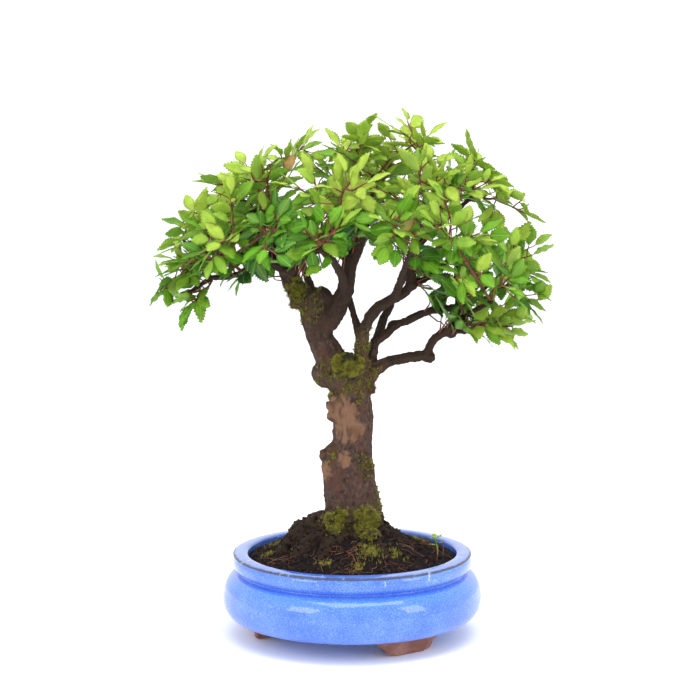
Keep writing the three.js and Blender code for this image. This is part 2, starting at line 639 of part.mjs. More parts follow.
function growTwigs([name, [x, y, z, tone]], index) {
  const tip = new THREE.Vector3(...grown([x, y, z, 0]));
  const outward = tip.clone().sub(CROWN_HEART).normalize();
  for (const seat of seatsFor(tip)) {
    const main = seatedRoute(seat, tip, index);
    if (main) {
      const sway = [spread(FACING_SPREAD, index, 3), spread(FACING_SPREAD, index, 4)];
      const facing = new THREE.Vector3(...sway, FACING_UP);
      facing.addScaledVector(outward, FACING_OUT).normalize();
      const length = new THREE.Vector3(...main[0].slice(0, 3)).distanceTo(tip);
      const flip = index % 2 ? 1 : -1;
      const twigs = [{ route: main, isMain: true }];
      TWIGLET_FORKS.forEach((part, i) => {
        const { point, heading } = along(main, part);
        const side = i % 2 ? -flip : flip;
        const way = turned(heading, facing, side * (TWIGLET_ANGLE + spread(8, index, i, 5)));
        const reach = length * TWIGLET_SHARE * (1.1 - TWIGLET_TAPER * part);
        const end = point.clone().addScaledVector(way, reach);
        const route = [[...point.toArray(), TWIGLET_RADIUS], [...end.toArray(), TWIG_TIP_RADIUS]];
        if (isClear(solidOf(barGeometry(route, TWIG_SIDES, TOUCH_GAP)), standing)) {
          twigs.push({ route, isMain: false });
        }
      });
      twigs.forEach(({ route }) => {
        standing.push(withBox(solidOf(barGeometry(route, TWIG_SIDES))));
      });
      return { name, index, tone, facing, twigs, own: standing.slice(-twigs.length) };
    }
  }
  throw new Error(`no limb bears ${name}`);
}

// One leaf, folded a little along its midrib so that its two edges stand up.
function leafCorners(base, heading, facing, length, width) {
  const side = facing.clone().cross(heading).normalize();
  const face = heading.clone().cross(side).normalize();
  const shoulder = base.clone().addScaledVector(heading, length * LEAF_SHOULDER);
  shoulder.addScaledVector(face, LEAF_CROWN);
  return [
    base,
    shoulder.clone().addScaledVector(side, width / 2),
    base.clone().addScaledVector(heading, length),
    shoulder.clone().addScaledVector(side, -width / 2),
  ];
}

// The room that a leaf takes up with a clearance all round it, as a flat slab.
function leafRoomCorners(base, heading, facing, length, width, start) {
  const side = facing.clone().cross(heading).normalize();
  const face = heading.clone().cross(side).normalize();
  const half = width / 2 + TOUCH_GAP * 2;
  const outline = [
    [length * start, 0], [length * LEAF_SHOULDER, half],
    [length + TOUCH_GAP * 3, 0], [length * LEAF_SHOULDER, -half],
  ];
  return [-TOUCH_GAP, LEAF_CROWN + TOUCH_GAP].flatMap((up) => outline.map(([far, out]) => (
    base.clone().addScaledVector(heading, far).addScaledVector(side, out).addScaledVector(face, up)
  )));
}

const LEAF_FACES = [[0, 3, 1], [2, 1, 3], [0, 1, 2], [0, 2, 3]];
const LEAF_ROOM_FACES = [
  [0, 1, 2], [0, 2, 3], [4, 6, 5], [4, 7, 6],
  [0, 4, 5], [0, 5, 1], [1, 5, 6], [1, 6, 2], [2, 6, 7], [2, 7, 3], [3, 7, 4], [3, 4, 0],
];

// Where the first leaf sits on a main twig and on a twiglet.
const FIRST_ON_TWIG = 0.3;
const FIRST_ON_TWIGLET = 0.4;

// Leaves are largest a little past the middle of a twig.
const FULLEST_PART = 0.6;
const LEAF_TAPER = 0.16;
const TIP_LEAF_SIZE = 0.86;

// The leaves of one twig, set in two ranks, with one more at its tip.
function leafPlaces(route, first) {
  const start = new THREE.Vector3(...route[0].slice(0, 3));
  const end = new THREE.Vector3(...route[route.length - 1].slice(0, 3));
  const length = start.distanceTo(end);
  const count = Math.max(Math.round((length * (1 - first)) / LEAF_SPACING), 2);
  const last = 1 - 1 / length;
  const places = [];
  for (let i = 0; i < count; i += 1) {
    const part = first + ((last - first) * i) / count;
    const size = 1 - LEAF_TAPER * Math.abs(part - FULLEST_PART);
    places.push({ part, side: i % 2 ? 1 : -1, size });
  }
  places.push({ part: last, side: 0, size: TIP_LEAF_SIZE });
  return places;
}

// How much a leaf may turn, and how much more at each further try for a free place.
const LEAF_LOOSENESS = 0.3;
const LOOSER_PER_TRY = 0.05;
const LEAF_SWING = 12;
const SWING_PER_TRY = 2;
const SIZE_SPREAD = 0.12;

// One leaf at a place on a twig, turned a little differently at each try.
function leafPlan(shoot, route, { part, side, size }, keys) {
  const { point, radius, heading } = along(route, part);
  const attempt = keys[keys.length - 1];
  const loose = LEAF_LOOSENESS + LOOSER_PER_TRY * attempt;
  const facing = shoot.facing.clone();
  facing.x += spread(loose, ...keys, 1);
  facing.y += spread(loose, ...keys, 2);
  facing.z += spread(loose, ...keys, 3);
  facing.addScaledVector(heading, -facing.dot(heading)).normalize();
  const swing = spread(LEAF_SWING + SWING_PER_TRY * attempt, ...keys, 4);
  const way = turned(heading, facing, side * LEAF_ANGLE + swing);
  way.addScaledVector(facing, spread(LEAF_LOOSENESS, ...keys, 5)).normalize();
  const growth = size * (1 + spread(SIZE_SPREAD, ...keys, 6));
  const base = point.clone().addScaledVector(way, radius * LEAF_SEAT);
  return [base, way, facing, LEAF_LENGTH * growth, LEAF_WIDTH * growth];
}

function growLeaves(shoot) {
  const kept = [];
  const others = standing.filter((piece) => !shoot.own.includes(piece));
  const room = (plan, start) => (
    solidOf(facetedGeometry(leafRoomCorners(...plan, start), LEAF_ROOM_FACES))
  );
  shoot.twigs.forEach(({ route, isMain }, twigIndex) => {
    const places = leafPlaces(route, isMain ? FIRST_ON_TWIG : FIRST_ON_TWIGLET);
    places.forEach((place, leafIndex) => {
      for (let attempt = 0; attempt < LEAF_TRIES; attempt += 1) {
        const keys = [shoot.index, twigIndex * 20 + leafIndex, attempt];
        const plan = leafPlan(shoot, route, place, keys);
        if (isClear(room(plan, 0), others) && isClear(room(plan, LEAF_STALK), kept)) {
          kept.push(withBox(solidOf(facetedGeometry(leafCorners(...plan), LEAF_FACES))));
          break;
        }
      }
    });
  });
  kept.forEach((leaf) => standing.push(leaf));
  return joined([...shoot.own, ...kept].map(({ solid }) => solid));
}

// ---------------------------------------------------------------- seedling

const SEEDLING_DIRECTION = 80;
const SEEDLING_WALL_GAP = 14;
const SEEDLING_HEIGHT = 13;
const SEEDLING_STEM = 0.7;
const SEEDLING_SEAT = 0.7;
const SEEDLING_LEAF_LENGTH = 8;
const SEEDLING_LEAF_WIDTH = 4;
const SEEDLING_LEAF_RISE = 0.25;
const SEEDLING_LEAF_TURNS = [20, 135, 250];

// A weed seedling that stands on the soil near the wall.
function seedlingSolid() {
  const angle = THREE.MathUtils.degToRad(SEEDLING_DIRECTION);
  const out = SOIL_RADIUS - SEEDLING_WALL_GAP;
  const x = out * Math.sin(angle);
  const y = -out * Math.cos(angle);
  const foot = new THREE.Vector3(x, y, soilHeight(x, y) + SEEDLING_SEAT);
  const top = foot.clone().add(new THREE.Vector3(-2, 0, SEEDLING_HEIGHT));
  const stem = [[...foot.toArray(), SEEDLING_STEM], [...top.toArray(), SEEDLING_STEM * 0.8]];
  const up = new THREE.Vector3(0, 0, 1);
  const solids = [solidOf(barGeometry(stem, SLIM_SIDES))];
  const base = top.clone().addScaledVector(up, -SEEDLING_STEM);
  SEEDLING_LEAF_TURNS.forEach((turn) => {
    const around = THREE.MathUtils.degToRad(turn);
    const heading = new THREE.Vector3(Math.cos(around), Math.sin(around), SEEDLING_LEAF_RISE);
    const size = [SEEDLING_LEAF_LENGTH, SEEDLING_LEAF_WIDTH];
    const corners = leafCorners(base, heading.normalize(), up, ...size);
    solids.push(solidOf(facetedGeometry(corners, LEAF_FACES)));
  });
  return joined(solids);
}

// ---------------------------------------------------------------- assembly

const bonsai = new THREE.Group();
const tree = new THREE.Group();
tree.position.z = SOIL_CROWN;
bonsai.add(tree);

function add(parent, name, geometry, finish) {
  const mesh = new THREE.Mesh(geometry, finish);
  mesh.name = name;
  parent.add(mesh);
}

add(bonsai, 'pot', potGeometry(), GLAZE);
Object.entries(FOOT_DIRECTIONS).forEach(([name, direction]) => {
  add(bonsai, name, footGeometry(direction), BARE_CLAY);
});
add(bonsai, 'drainage_mesh', drainageMeshGeometry(), MESH_PLASTIC);
add(bonsai, 'soil', geometryOf(soilSolid(WOOD_AND_GAP)), SOIL);
add(bonsai, 'seedling', geometryOf(seedlingSolid()), SEEDLING);
add(tree, 'trunk', geometryOf(WOOD), BARK);
mossPads().forEach(([name, pad]) => {
  add(tree, name, geometryOf(pad), MOSS);
  standing.push(withBox(pad));
});
const shoots = Object.entries(SHOOTS).map(growTwigs);
shoots.forEach((shoot) => {
  add(tree, `shoot_${shoot.name}`, geometryOf(growLeaves(shoot)), LEAF_TONES[shoot.tone]);
});

export default bonsai;
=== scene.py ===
"""Looks for a small-leaved elm bonsai in a round blue glazed pot on clay cloud feet.

Objects are in metres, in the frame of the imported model. Sizes inside the classes are in
millimetres, and a pattern's scale is worked out from a real size in millimetres.
"""

import json
import logging
import math
from dataclasses import dataclass, field
from enum import Enum
from itertools import combinations
from typing import Iterable, Optional

import bpy
import numpy as np
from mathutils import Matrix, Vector, noise
from mathutils.bvhtree import BVHTree


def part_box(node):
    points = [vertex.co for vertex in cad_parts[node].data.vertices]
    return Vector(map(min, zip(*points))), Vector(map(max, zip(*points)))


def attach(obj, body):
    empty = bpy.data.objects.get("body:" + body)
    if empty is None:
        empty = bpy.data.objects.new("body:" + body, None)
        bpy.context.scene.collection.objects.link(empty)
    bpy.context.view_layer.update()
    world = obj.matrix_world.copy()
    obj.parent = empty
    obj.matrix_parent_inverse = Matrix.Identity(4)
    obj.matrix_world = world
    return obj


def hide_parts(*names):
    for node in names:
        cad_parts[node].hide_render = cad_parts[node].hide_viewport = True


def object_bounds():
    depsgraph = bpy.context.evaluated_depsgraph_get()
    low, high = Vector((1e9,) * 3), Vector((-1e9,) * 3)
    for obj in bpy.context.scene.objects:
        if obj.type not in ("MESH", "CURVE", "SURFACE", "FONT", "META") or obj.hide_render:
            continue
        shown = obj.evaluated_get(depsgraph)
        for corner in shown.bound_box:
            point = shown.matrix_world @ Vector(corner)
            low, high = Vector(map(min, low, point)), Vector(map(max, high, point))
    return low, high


Tree = bpy.types.NodeTree
Socket = bpy.types.NodeSocket
Colour = str | Socket  # sRGB hex, or a socket that gives the colour

MM = 0.001
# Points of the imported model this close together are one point.
SAME_PLACE_MM = 0.002
# How far a tube's end bulges, in shares of its radius.
DOME_SHARE = 0.7
UP = np.array([0.0, 0.0, 1.0])
log = logging.getLogger("bonsai")

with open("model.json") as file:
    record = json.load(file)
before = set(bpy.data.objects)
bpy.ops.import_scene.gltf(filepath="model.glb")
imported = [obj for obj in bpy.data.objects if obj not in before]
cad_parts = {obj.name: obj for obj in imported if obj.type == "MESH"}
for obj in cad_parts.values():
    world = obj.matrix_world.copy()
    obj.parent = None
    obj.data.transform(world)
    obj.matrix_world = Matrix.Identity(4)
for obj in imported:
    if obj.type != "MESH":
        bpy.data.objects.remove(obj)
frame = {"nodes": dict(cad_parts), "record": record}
CAD_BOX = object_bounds()


# ---------------------------------------------------------------- nodes and colours


class Node(str, Enum):
    """The shader nodes that the finishes are made of."""

    SHADER = "ShaderNodeBsdfPrincipled"
    BACKLIGHT = "ShaderNodeBsdfTranslucent"
    BLEND = "ShaderNodeMixShader"
    OUTPUT = "ShaderNodeOutputMaterial"
    PLACE = "ShaderNodeTexCoord"
    VALUE_OF = "ShaderNodeAttribute"
    VECTOR = "ShaderNodeVectorMath"
    MATH = "ShaderNodeMath"
    NOISE = "ShaderNodeTexNoise"
    RANGE = "ShaderNodeMapRange"
    MIX = "ShaderNodeMix"
    SPLIT = "ShaderNodeSeparateXYZ"
    BUMP = "ShaderNodeBump"


# Numbers of the colour sockets on a mix node.
MIX_FACTOR, MIX_FROM, MIX_TO, MIX_OUT = 0, 6, 7, 2


def linear(colour: str) -> tuple[float, float, float, float]:
    """Turns an sRGB hex colour to linear light.

    Args:
        colour: Six hex digits, such as "7299ec".

    Returns:
        Red, green, blue and an alpha of 1.
    """
    shares = [int(colour[i : i + 2], 16) / 255 for i in (0, 2, 4)]
    light = [s / 12.92 if s <= 0.04045 else ((s + 0.055) / 1.055) ** 2.4 for s in shares]
    return (light[0], light[1], light[2], 1.0)


def add_node(
    tree: Tree,
    kind: Node,
    settings: Optional[dict] = None,
    links: Optional[dict] = None,
) -> bpy.types.Node:
    """Adds a node to a tree, sets it up and links it.

    Args:
        tree: The node tree of a material.
        kind: Which node to add.
        settings: Values by property name, input name or input number.
        links: Output sockets by the name or number of the input that each goes into.

    Returns:
        The new node.
    """
    node = tree.nodes.new(kind.value)
    for key, value in (settings or {}).items():
        if isinstance(key, str) and key not in node.inputs:
            setattr(node, key, value)
        else:
            node.inputs[key].default_value = value
    for key, socket in (links or {}).items():
        tree.links.new(socket, node.inputs[key])
    return node


@dataclass(frozen=True)
class Finish:
    """A real material and how its surface was made. Subclasses draw it."""

    def material(self) -> bpy.types.Material:
        """Returns the Blender material of this finish, made the first time it is asked for."""
        name = type(self).__name__
        made = bpy.data.materials.get(name)
        if made is None:
            made = bpy.data.materials.new(name)
            made.use_nodes = True
            tree = made.node_tree
            tree.nodes.clear()
            place = add_node(tree, Node.PLACE)
            mm = add_node(
                tree,
                Node.VECTOR,
                {"operation": "SCALE", "Scale": 1000.0},
                {0: place.outputs["Object"]},
            )
            surface = self.draw(tree, mm.outputs[0])
            add_node(tree, Node.OUTPUT, links={"Surface": surface})
        return made

    def draw(self, tree: Tree, mm: Socket) -> Socket:
        """Draws the finish.

        Args:
            tree: The material's empty node tree.
            mm: The place on the object, in millimetres.

        Returns:
            The shader socket for the surface.
        """
        raise NotImplementedError


# ---------------------------------------------------------------- finishes


def mottling(
    tree: Tree,
    place: Socket,
    size_mm: float,
    detail: float,
    reach: tuple[float, float],
    give: tuple[float, float] = (0.0, 1.0),
    roughness: float = 0.5,
) -> tuple[Socket, Socket]:
    """Draws a cloudy pattern, and a share of the surface from it.

    Args:
        tree: The material's node tree.
        place: The place on the object, in millimetres.
        size_mm: The real size of a cloud.
        detail: How many finer octaves the clouds have.
        reach: The pattern's values between which the share changes.
        give: The shares at those two values.
        roughness: How strong the finer octaves are.

    Returns:
        The pattern's own value, and the share.
    """
    clouded = add_node(
        tree,
        Node.NOISE,
        {"Scale": 1 / size_mm, "Detail": detail, "Roughness": roughness},
        {"Vector": place},
    ).outputs["Fac"]
    limits = dict(zip(("From Min", "From Max", "To Min", "To Max"), reach + give))
    return clouded, add_node(tree, Node.RANGE, limits, {"Value": clouded}).outputs["Result"]


def coated(tree: Tree, base: Colour, coats: Iterable[tuple[Socket, Colour]]) -> Socket:
    """Lays coats of colour over a base.

    Args:
        tree: The material's node tree.
        base: The colour underneath.
        coats: The share that each coat covers and its colour, from the lowest up.

    Returns:
        The colour that is seen.
    """
    for share, coat in coats:
        settings, links = {"data_type": "RGBA"}, {MIX_FACTOR: share}
        for key, colour in ((MIX_FROM, base), (MIX_TO, coat)):
            if isinstance(colour, str):
                settings[key] = linear(colour)
            else:
                links[key] = colour
        base = add_node(tree, Node.MIX, settings, links).outputs[MIX_OUT]
    return base


def surfaced(
    tree: Tree, settings: dict, links: dict, height: Socket, relief: dict
) -> bpy.types.Node:
    """Makes a surface with a fine relief.

    Args:
        tree: The material's node tree.
        settings: The shader's settings.
        links: The sockets that go into the shader.
        height: The pattern of the relief.
        relief: The relief's strength and its depth in metres.

    Returns:
        The shader.
    """
    bump = add_node(tree, Node.BUMP, relief, {"Height": height})
    return add_node(tree, Node.SHADER, settings, {**links, "Normal": bump.outputs["Normal"]})


@dataclass(frozen=True)
class DippedBlueGlaze(Finish):
    """Glossy stoneware glaze, dipped and fired: a wet-looking skin over a speckled blue."""

    body: str = "4370da"
    pale: str = "5c86e2"
    pooled: str = "3f80ee"
    speck_dark: str = "3a5cb4"
    break_line: str = "33343d"
    bloom: str = "86a6ea"
    drip: str = "dfe8fb"
    speck_mm: float = 1.1
    cloud_mm: float = 26.0
    chip_mm: float = 2.6
    drip_mm: float = 7.0
    skin_mm: float = 9.0
    neck_mm: float = 47.5
    neck_reach_mm: float = 5.0
    rim_mm: float = 65.6
    rim_reach_mm: float = 0.85
    rim_radius_mm: float = 93.6
    drips_mm: tuple[float, float] = (55.0, 63.0)

    def draw(self, tree: Tree, mm: Socket) -> Socket:
        """Speckle and clouds in the glaze, pooled colour at the neck, a bare line on the rim."""
        height = add_node(tree, Node.SPLIT, links={0: mm}).outputs["Z"]
        cloud, cloudy = mottling(tree, mm, self.cloud_mm, 3.0, (0.4, 0.68))
        speck, dark = mottling(tree, mm, self.speck_mm, 1.0, (0.52, 0.72), (0.0, 0.75))
        light = add_node(
            tree, Node.RANGE, {"From Min": 0.46, "From Max": 0.3, "To Max": 0.42}, {"Value": speck}
        ).outputs["Result"]
        chipped = add_node(
            tree, Node.NOISE, {"Scale": 1 / self.chip_mm, "Detail": 5.0}, {"Vector": mm}
        ).outputs["Fac"]
        # The glaze flows as it melts: it runs thick and deep blue into the groove under the
        # collar, and thins to a dark broken line where it pulls off the rim's edge. Each is a
        # band round a height, with an edge that a pattern makes ragged.
        bands = []
        for middle, pattern, ragged, near, far, most, fade in (
            (self.neck_mm, cloud, 6.0, 2.5, self.neck_reach_mm + 4, 0.75, "SMOOTHSTEP"),
            (self.rim_mm, chipped, 1.8, self.rim_reach_mm + 0.75, self.rim_reach_mm + 1.25,
             0.92, "LINEAR"),
        ):
            off = add_node(tree, Node.MATH, {"operation": "SUBTRACT", 1: middle}, {0: height})
            away = add_node(tree, Node.MATH, {"operation": "ABSOLUTE"}, {0: off.outputs[0]})
            edge = add_node(
                tree,
                Node.MATH,
                {"operation": "MULTIPLY_ADD", 1: ragged},
                {0: pattern, 2: away.outputs[0]},
            )
            limits = {"From Min": near, "From Max": far, "To Min": most, "To Max": 0.0}
            limits["interpolation_type"] = fade
            band = add_node(tree, Node.RANGE, limits, {"Value": edge.outputs[0]})
            bands.append(band.outputs["Result"])
        pool, line = bands
        # The line is on the rim's outer edge only, so it is masked by radius too.
        flat = add_node(
            tree, Node.VECTOR, {"operation": "MULTIPLY", 1: (1.0, 1.0, 0.0)}, {0: mm}
        )
        radius = add_node(tree, Node.VECTOR, {"operation": "LENGTH"}, {0: flat.outputs[0]})
        outside = add_node(
            tree,
            Node.RANGE,
            {"From Min": self.rim_radius_mm, "From Max": self.rim_radius_mm + 1.0},
            {"Value": radius.outputs["Value"]},
        )
        # Whitish drips hang from the line where the glaze ran and clouded.
        tall = add_node(
            tree, Node.VECTOR, {"operation": "MULTIPLY", 1: (1.0, 1.0, 0.45)}, {0: mm}
        ).outputs[0]
        _, drips = mottling(tree, tall, self.drip_mm, 5.0, (0.6, 0.72), (0.0, 0.55), 0.7)
        low, high = self.drips_mm
        upper = add_node(
            tree, Node.RANGE, {"From Min": low, "From Max": high}, {"Value": height}
        )
        broken, hanging = (
            add_node(tree, Node.MATH, {"operation": "MULTIPLY"}, {0: share, 1: mask}).outputs[0]
            for share, mask in (
                (line, outside.outputs["Result"]),
                (drips, upper.outputs["Result"]),
            )
        )
        coats = (
            (cloudy, self.pale),
            (pool, self.pooled),
            (dark, self.speck_dark),
            (light, self.bloom),
            (broken, self.break_line),
            (hanging, self.drip),
        )
        rough = add_node(tree, Node.RANGE, {"To Min": 0.1, "To Max": 0.55}, {"Value": broken})
        skin = add_node(
            tree, Node.NOISE, {"Scale": 1 / self.skin_mm, "Detail": 2.0}, {"Vector": mm}
        )
        return surfaced(
            tree,
            {"IOR": 1.5, "Coat Weight": 0.35, "Coat Roughness": 0.04},
            {"Base Color": coated(tree, self.body, coats), "Roughness": rough.outputs["Result"]},
            skin.outputs["Fac"],
            {"Strength": 0.25, "Distance": 0.0006},
        ).outputs[0]


@dataclass(frozen=True)
class BareFiredClay(Finish):
    """Unglazed red stoneware clay, pressed and fired: dry, matte and a little dusty."""

    clay: str = "87584b"
    pale: str = "a57868"
    stain: str = "6a4339"
    blotch_mm: float = 11.0
    grit_mm: float = 0.7

    def draw(self, tree: Tree, mm: Socket) -> Socket:
        """Blotches from the kiln, pale lime bloom, and the grit of the clay."""
        _, pale = mottling(tree, mm, self.blotch_mm, 5.0, (0.45, 0.7))
        grit, pits = mottling(tree, mm, self.grit_mm, 3.0, (0.5, 0.75), (0.0, 0.6))
        colour = coated(tree, self.clay, ((pale, self.pale), (pits, self.stain)))
        relief = {"Strength": 0.5, "Distance": 0.0004}
        return surfaced(
            tree, {"Roughness": 0.88}, {"Base Color": colour}, grit, relief
        ).outputs[0]


@dataclass(frozen=True)
class MouldedBlackPolyethylene(Finish):
    """Black polyethylene, moulded as a mesh: satin, with dust from the soil in its texture."""

    black: str = "1f2321"
    dust: str = "4a4037"
    dust_mm: float = 2.5

    def draw(self, tree: Tree, mm: Socket) -> Socket:
        """Black plastic with brown dust caught on it."""
        _, dusty = mottling(tree, mm, self.dust_mm, 4.0, (0.48, 0.7))
        colour = coated(tree, self.black, ((dusty, self.dust),))
        rough = add_node(tree, Node.RANGE, {"To Min": 0.4, "To Max": 0.8}, {"Value": dusty})
        return add_node(
            tree,
            Node.SHADER,
            {"IOR": 1.5},
            {"Base Color": colour, "Roughness": rough.outputs["Result"]},
        ).outputs[0]


@dataclass(frozen=True)
class DampPottingSoil(Finish):
    """Peat, bark and grit, watered: nearly black where it is wet, brown on the dry crumbs."""

    wet: str = "130e0e"
    crumb: str = "2a2122"
    dry: str = "4b3f3a"
    crumb_mm: float = 2.6

    def draw(self, tree: Tree, mm: Socket) -> Socket:
        """Colour by the crumb's own dryness, with fine grains over it."""
        dryness = add_node(tree, Node.VALUE_OF, {"attribute_name": "dryness"}).outputs["Fac"]
        grains, lit = mottling(tree, mm, self.crumb_mm, 6.0, (0.38, 0.66), roughness=0.65)
        colour = coated(tree, self.wet, ((lit, self.crumb), (dryness, self.dry)))
        matt = {"Roughness": 0.93, "Specular IOR Level": 0.12}
        relief = {"Strength": 0.9, "Distance": 0.0012}
        return surfaced(tree, matt, {"Base Color": colour}, grains, relief).outputs[0]


@dataclass(frozen=True)
class PlatedElmBark(Finish):
    """Old elm bark that sheds plates: rough grey-brown scales and smooth tan new bark."""

    plate: str = "41322c"
    ridge: str = "624c44"
    crack: str = "211915"
    russet: str = "55392f"
    fresh: str = "7a5b47"
    fresh_deep: str = "61422f"
    algae: str = "453d1a"
    limb: str = "33271f"
    grain_mm: float = 2.2
    blotch_mm: float = 13.0

    def draw(self, tree: Tree, mm: Socket) -> Socket:
        """Mixes the bark's colours by the values stored on its points."""
        limb, shed, algae, crack = (
            add_node(tree, Node.VALUE_OF, {"attribute_name": name}).outputs["Fac"]
            for name in ("limb", "shed", "algae", "crack")
        )
        tall = add_node(
            tree, Node.VECTOR, {"operation": "MULTIPLY", 1: (1.0, 1.0, 0.6)}, {0: mm}
        ).outputs[0]
        grain, ridged = mottling(tree, tall, self.grain_mm, 6.0, (0.42, 0.68), roughness=0.62)
        _, red = mottling(tree, mm, self.blotch_mm, 4.0, (0.48, 0.62), (0.0, 0.7))
        # Algae grow on the ridges, which dry last.
        grown = add_node(tree, Node.MATH, {"operation": "MULTIPLY"}, {0: algae, 1: ridged})
        coats = (
            (ridged, self.ridge),
            (red, self.russet),
            (limb, self.limb),
            (shed, coated(tree, self.fresh, ((red, self.fresh_deep),))),
            (grown.outputs[0], self.algae),
            (crack, self.crack),
        )
        matt = {"Roughness": 0.86, "Specular IOR Level": 0.15}
        relief = {"Strength": 0.7, "Distance": 0.0009}
        colour = coated(tree, self.plate, coats)
        return surfaced(tree, matt, {"Base Color": colour}, grain, relief).outputs[0]


@dataclass(frozen=True)
class CushionMoss(Finish):
    """Living cushion moss: soft blades, olive at the foot and yellow-green at the tip."""

    foot: str = "221e0c"
    blade: str = "6c681c"
    tip: str = "cdc746"
    tuft_mm: float = 6.0

    def draw(self, tree: Tree, mm: Socket) -> Socket:
        """Colour along each blade, with greener and yellower tufts."""
        along = add_node(tree, Node.VALUE_OF, {"attribute_name": "along"}).outputs["Fac"]
        _, green = mottling(tree, mm, self.tuft_mm, 2.0, (0.4, 0.62), (0.0, 0.8))
        colour = coated(tree, self.foot, ((along, self.tip), (green, self.blade)))
        soft = {"Roughness": 0.85, "Specular IOR Level": 0.15, "Sheen Weight": 0.1}
        return add_node(tree, Node.SHADER, soft, {"Base Color": colour}).outputs[0]


@dataclass(frozen=True)
class WaxyElmLeaf(Finish):
    """A living elm leaf: a thin waxy blade, pale beneath, that lets daylight through."""

    shaded: str = "34693a"
    grown: str = "6cae24"
    young: str = "bbd452"
    rib: str = "b4cb6c"
    under: str = "8fb45e"
    autumn: str = "c79a62"
    mottle_mm: float = 9.0
    rib_mm: tuple[float, float] = (0.15, 0.55)
    vein_mm: tuple[float, float] = (0.0, 0.3)
    vein_pitch_mm: float = 1.0
    vein_slant: float = -0.9
    see_through: float = 0.42

    def draw(self, tree: Tree, mm: Socket) -> Socket:
        """Colour by the leaf's tone, which is its age with painted light and shade, a pale midrib,
        side veins and a paler underside.
        """
        age_and_light, autumn, under, out, along = (
            add_node(tree, Node.VALUE_OF, {"attribute_name": name}).outputs["Fac"]
            for name in ("tone", "autumn", "under", "out_mm", "along_mm")
        )
        less_shaded, younger_and_lit, below = (
            add_node(
                tree,
                Node.RANGE,
                {"From Min": low, "From Max": high, "To Max": most},
                {"Value": value},
            ).outputs["Result"]
            for value, low, high, most in (
                (age_and_light, 0.0, 0.5, 1.0),
                (age_and_light, 0.5, 1.0, 1.0),
                (under, 0.6, 1.0, 0.55),
            )
        )
        # The tone's low end is the shaded colour, which is painted shade; its high end is the
        # young colour, partly young growth and partly painted light.
        aged_and_lit = ((less_shaded, self.grown), (younger_and_lit, self.young), (autumn, self.autumn))
        _, shade = mottling(tree, mm, self.mottle_mm, 3.0, (0.35, 0.65), (0.82, 1.12))
        uneven = add_node(
            tree,
            Node.VECTOR,
            {"operation": "SCALE"},
            {0: coated(tree, self.shaded, aged_and_lit), "Scale": shade},
        )
        # The midrib is about 0.7 mm wide, and the side veins leave it every 2 mm.
        slant = add_node(
            tree,
            Node.MATH,
            {"operation": "MULTIPLY_ADD", 1: self.vein_slant},
            {0: out, 2: along},
        )
        wave = add_node(
            tree,
            Node.MATH,
            {"operation": "PINGPONG", 1: self.vein_pitch_mm},
            {0: slant.outputs[0]},
        )
        rib, veins = (
            add_node(
                tree,
                Node.RANGE,
                {"From Min": low, "From Max": high, "To Min": most, "To Max": 0.0},
                {"Value": value},
            ).outputs["Result"]
            for value, (low, high), most in (
                (out, self.rib_mm, 0.45),
                (wave.outputs[0], self.vein_mm, 0.16),
            )
        )
        lines = add_node(
            tree, Node.MATH, {"operation": "MAXIMUM"}, {0: rib, 1: veins}
        ).outputs[0]
        colour = coated(tree, uneven.outputs[0], ((below, self.under), (lines, self.rib)))
        waxy = {"Roughness": 0.42, "IOR": 1.42, "Specular IOR Level": 0.26}
        pillow = {"Strength": 0.55, "Distance": 0.0005, "invert": True}
        upper = surfaced(tree, waxy, {"Base Color": colour}, lines, pillow)
        through = add_node(tree, Node.BACKLIGHT, links={"Color": colour})
        return add_node(
            tree,
            Node.BLEND,
            {0: self.see_through},
            {1: upper.outputs[0], 2: through.outputs[0]},
        ).outputs[0]


@dataclass(frozen=True)
class YoungTwigBark(Finish):
    """Bark of this year's twigs: smooth, reddish brown and faintly glossy."""

    red: str = "7e4129"
    grey: str = "543b30"
    pale: str = "8b7358"
    streak_mm: float = 3.0

    def draw(self, tree: Tree, mm: Socket) -> Socket:
        """Red-brown bark with greyer streaks and pale stalks."""
        straw = add_node(tree, Node.VALUE_OF, {"attribute_name": "straw"}).outputs["Fac"]
        streaks, grey = mottling(tree, mm, self.streak_mm, 4.0, (0.42, 0.62))
        colour = coated(tree, self.red, ((grey, self.grey), (straw, self.pale)))
        satin = {"Roughness": 0.6, "Specular IOR Level": 0.25}
        relief = {"Strength": 0.4, "Distance": 0.0003}
        return surfaced(tree, satin, {"Base Color": colour}, streaks, relief).outputs[0]


@dataclass(frozen=True)
class MattWhitePaper(Finish):
    """Matt white paper with a faint painted glow: it is no lamp, but its emission keeps the shadow
    pale.
    """

    white: str = "f7f9fc"
    painted_glow: float = 0.03
    tooth_mm: float = 1.5

    def draw(self, tree: Tree, mm: Socket) -> Socket:
        """Plain white with a very fine tooth, and a faint painted glow that lifts the shadow."""
        tooth = add_node(
            tree, Node.NOISE, {"Scale": 1 / self.tooth_mm, "Detail": 2.0}, {"Vector": mm}
        )
        # The emission is painted light, which lifts the shadow under the pot.
        matt = {
            "Base Color": linear(self.white),
            "Roughness": 0.9,
            "Emission Color": linear(self.white),
            "Emission Strength": self.painted_glow,
        }
        relief = {"Strength": 0.05, "Distance": 0.0002}
        return surfaced(tree, matt, {}, tooth.outputs["Fac"], relief).outputs[0]


# ---------------------------------------------------------------- shapes


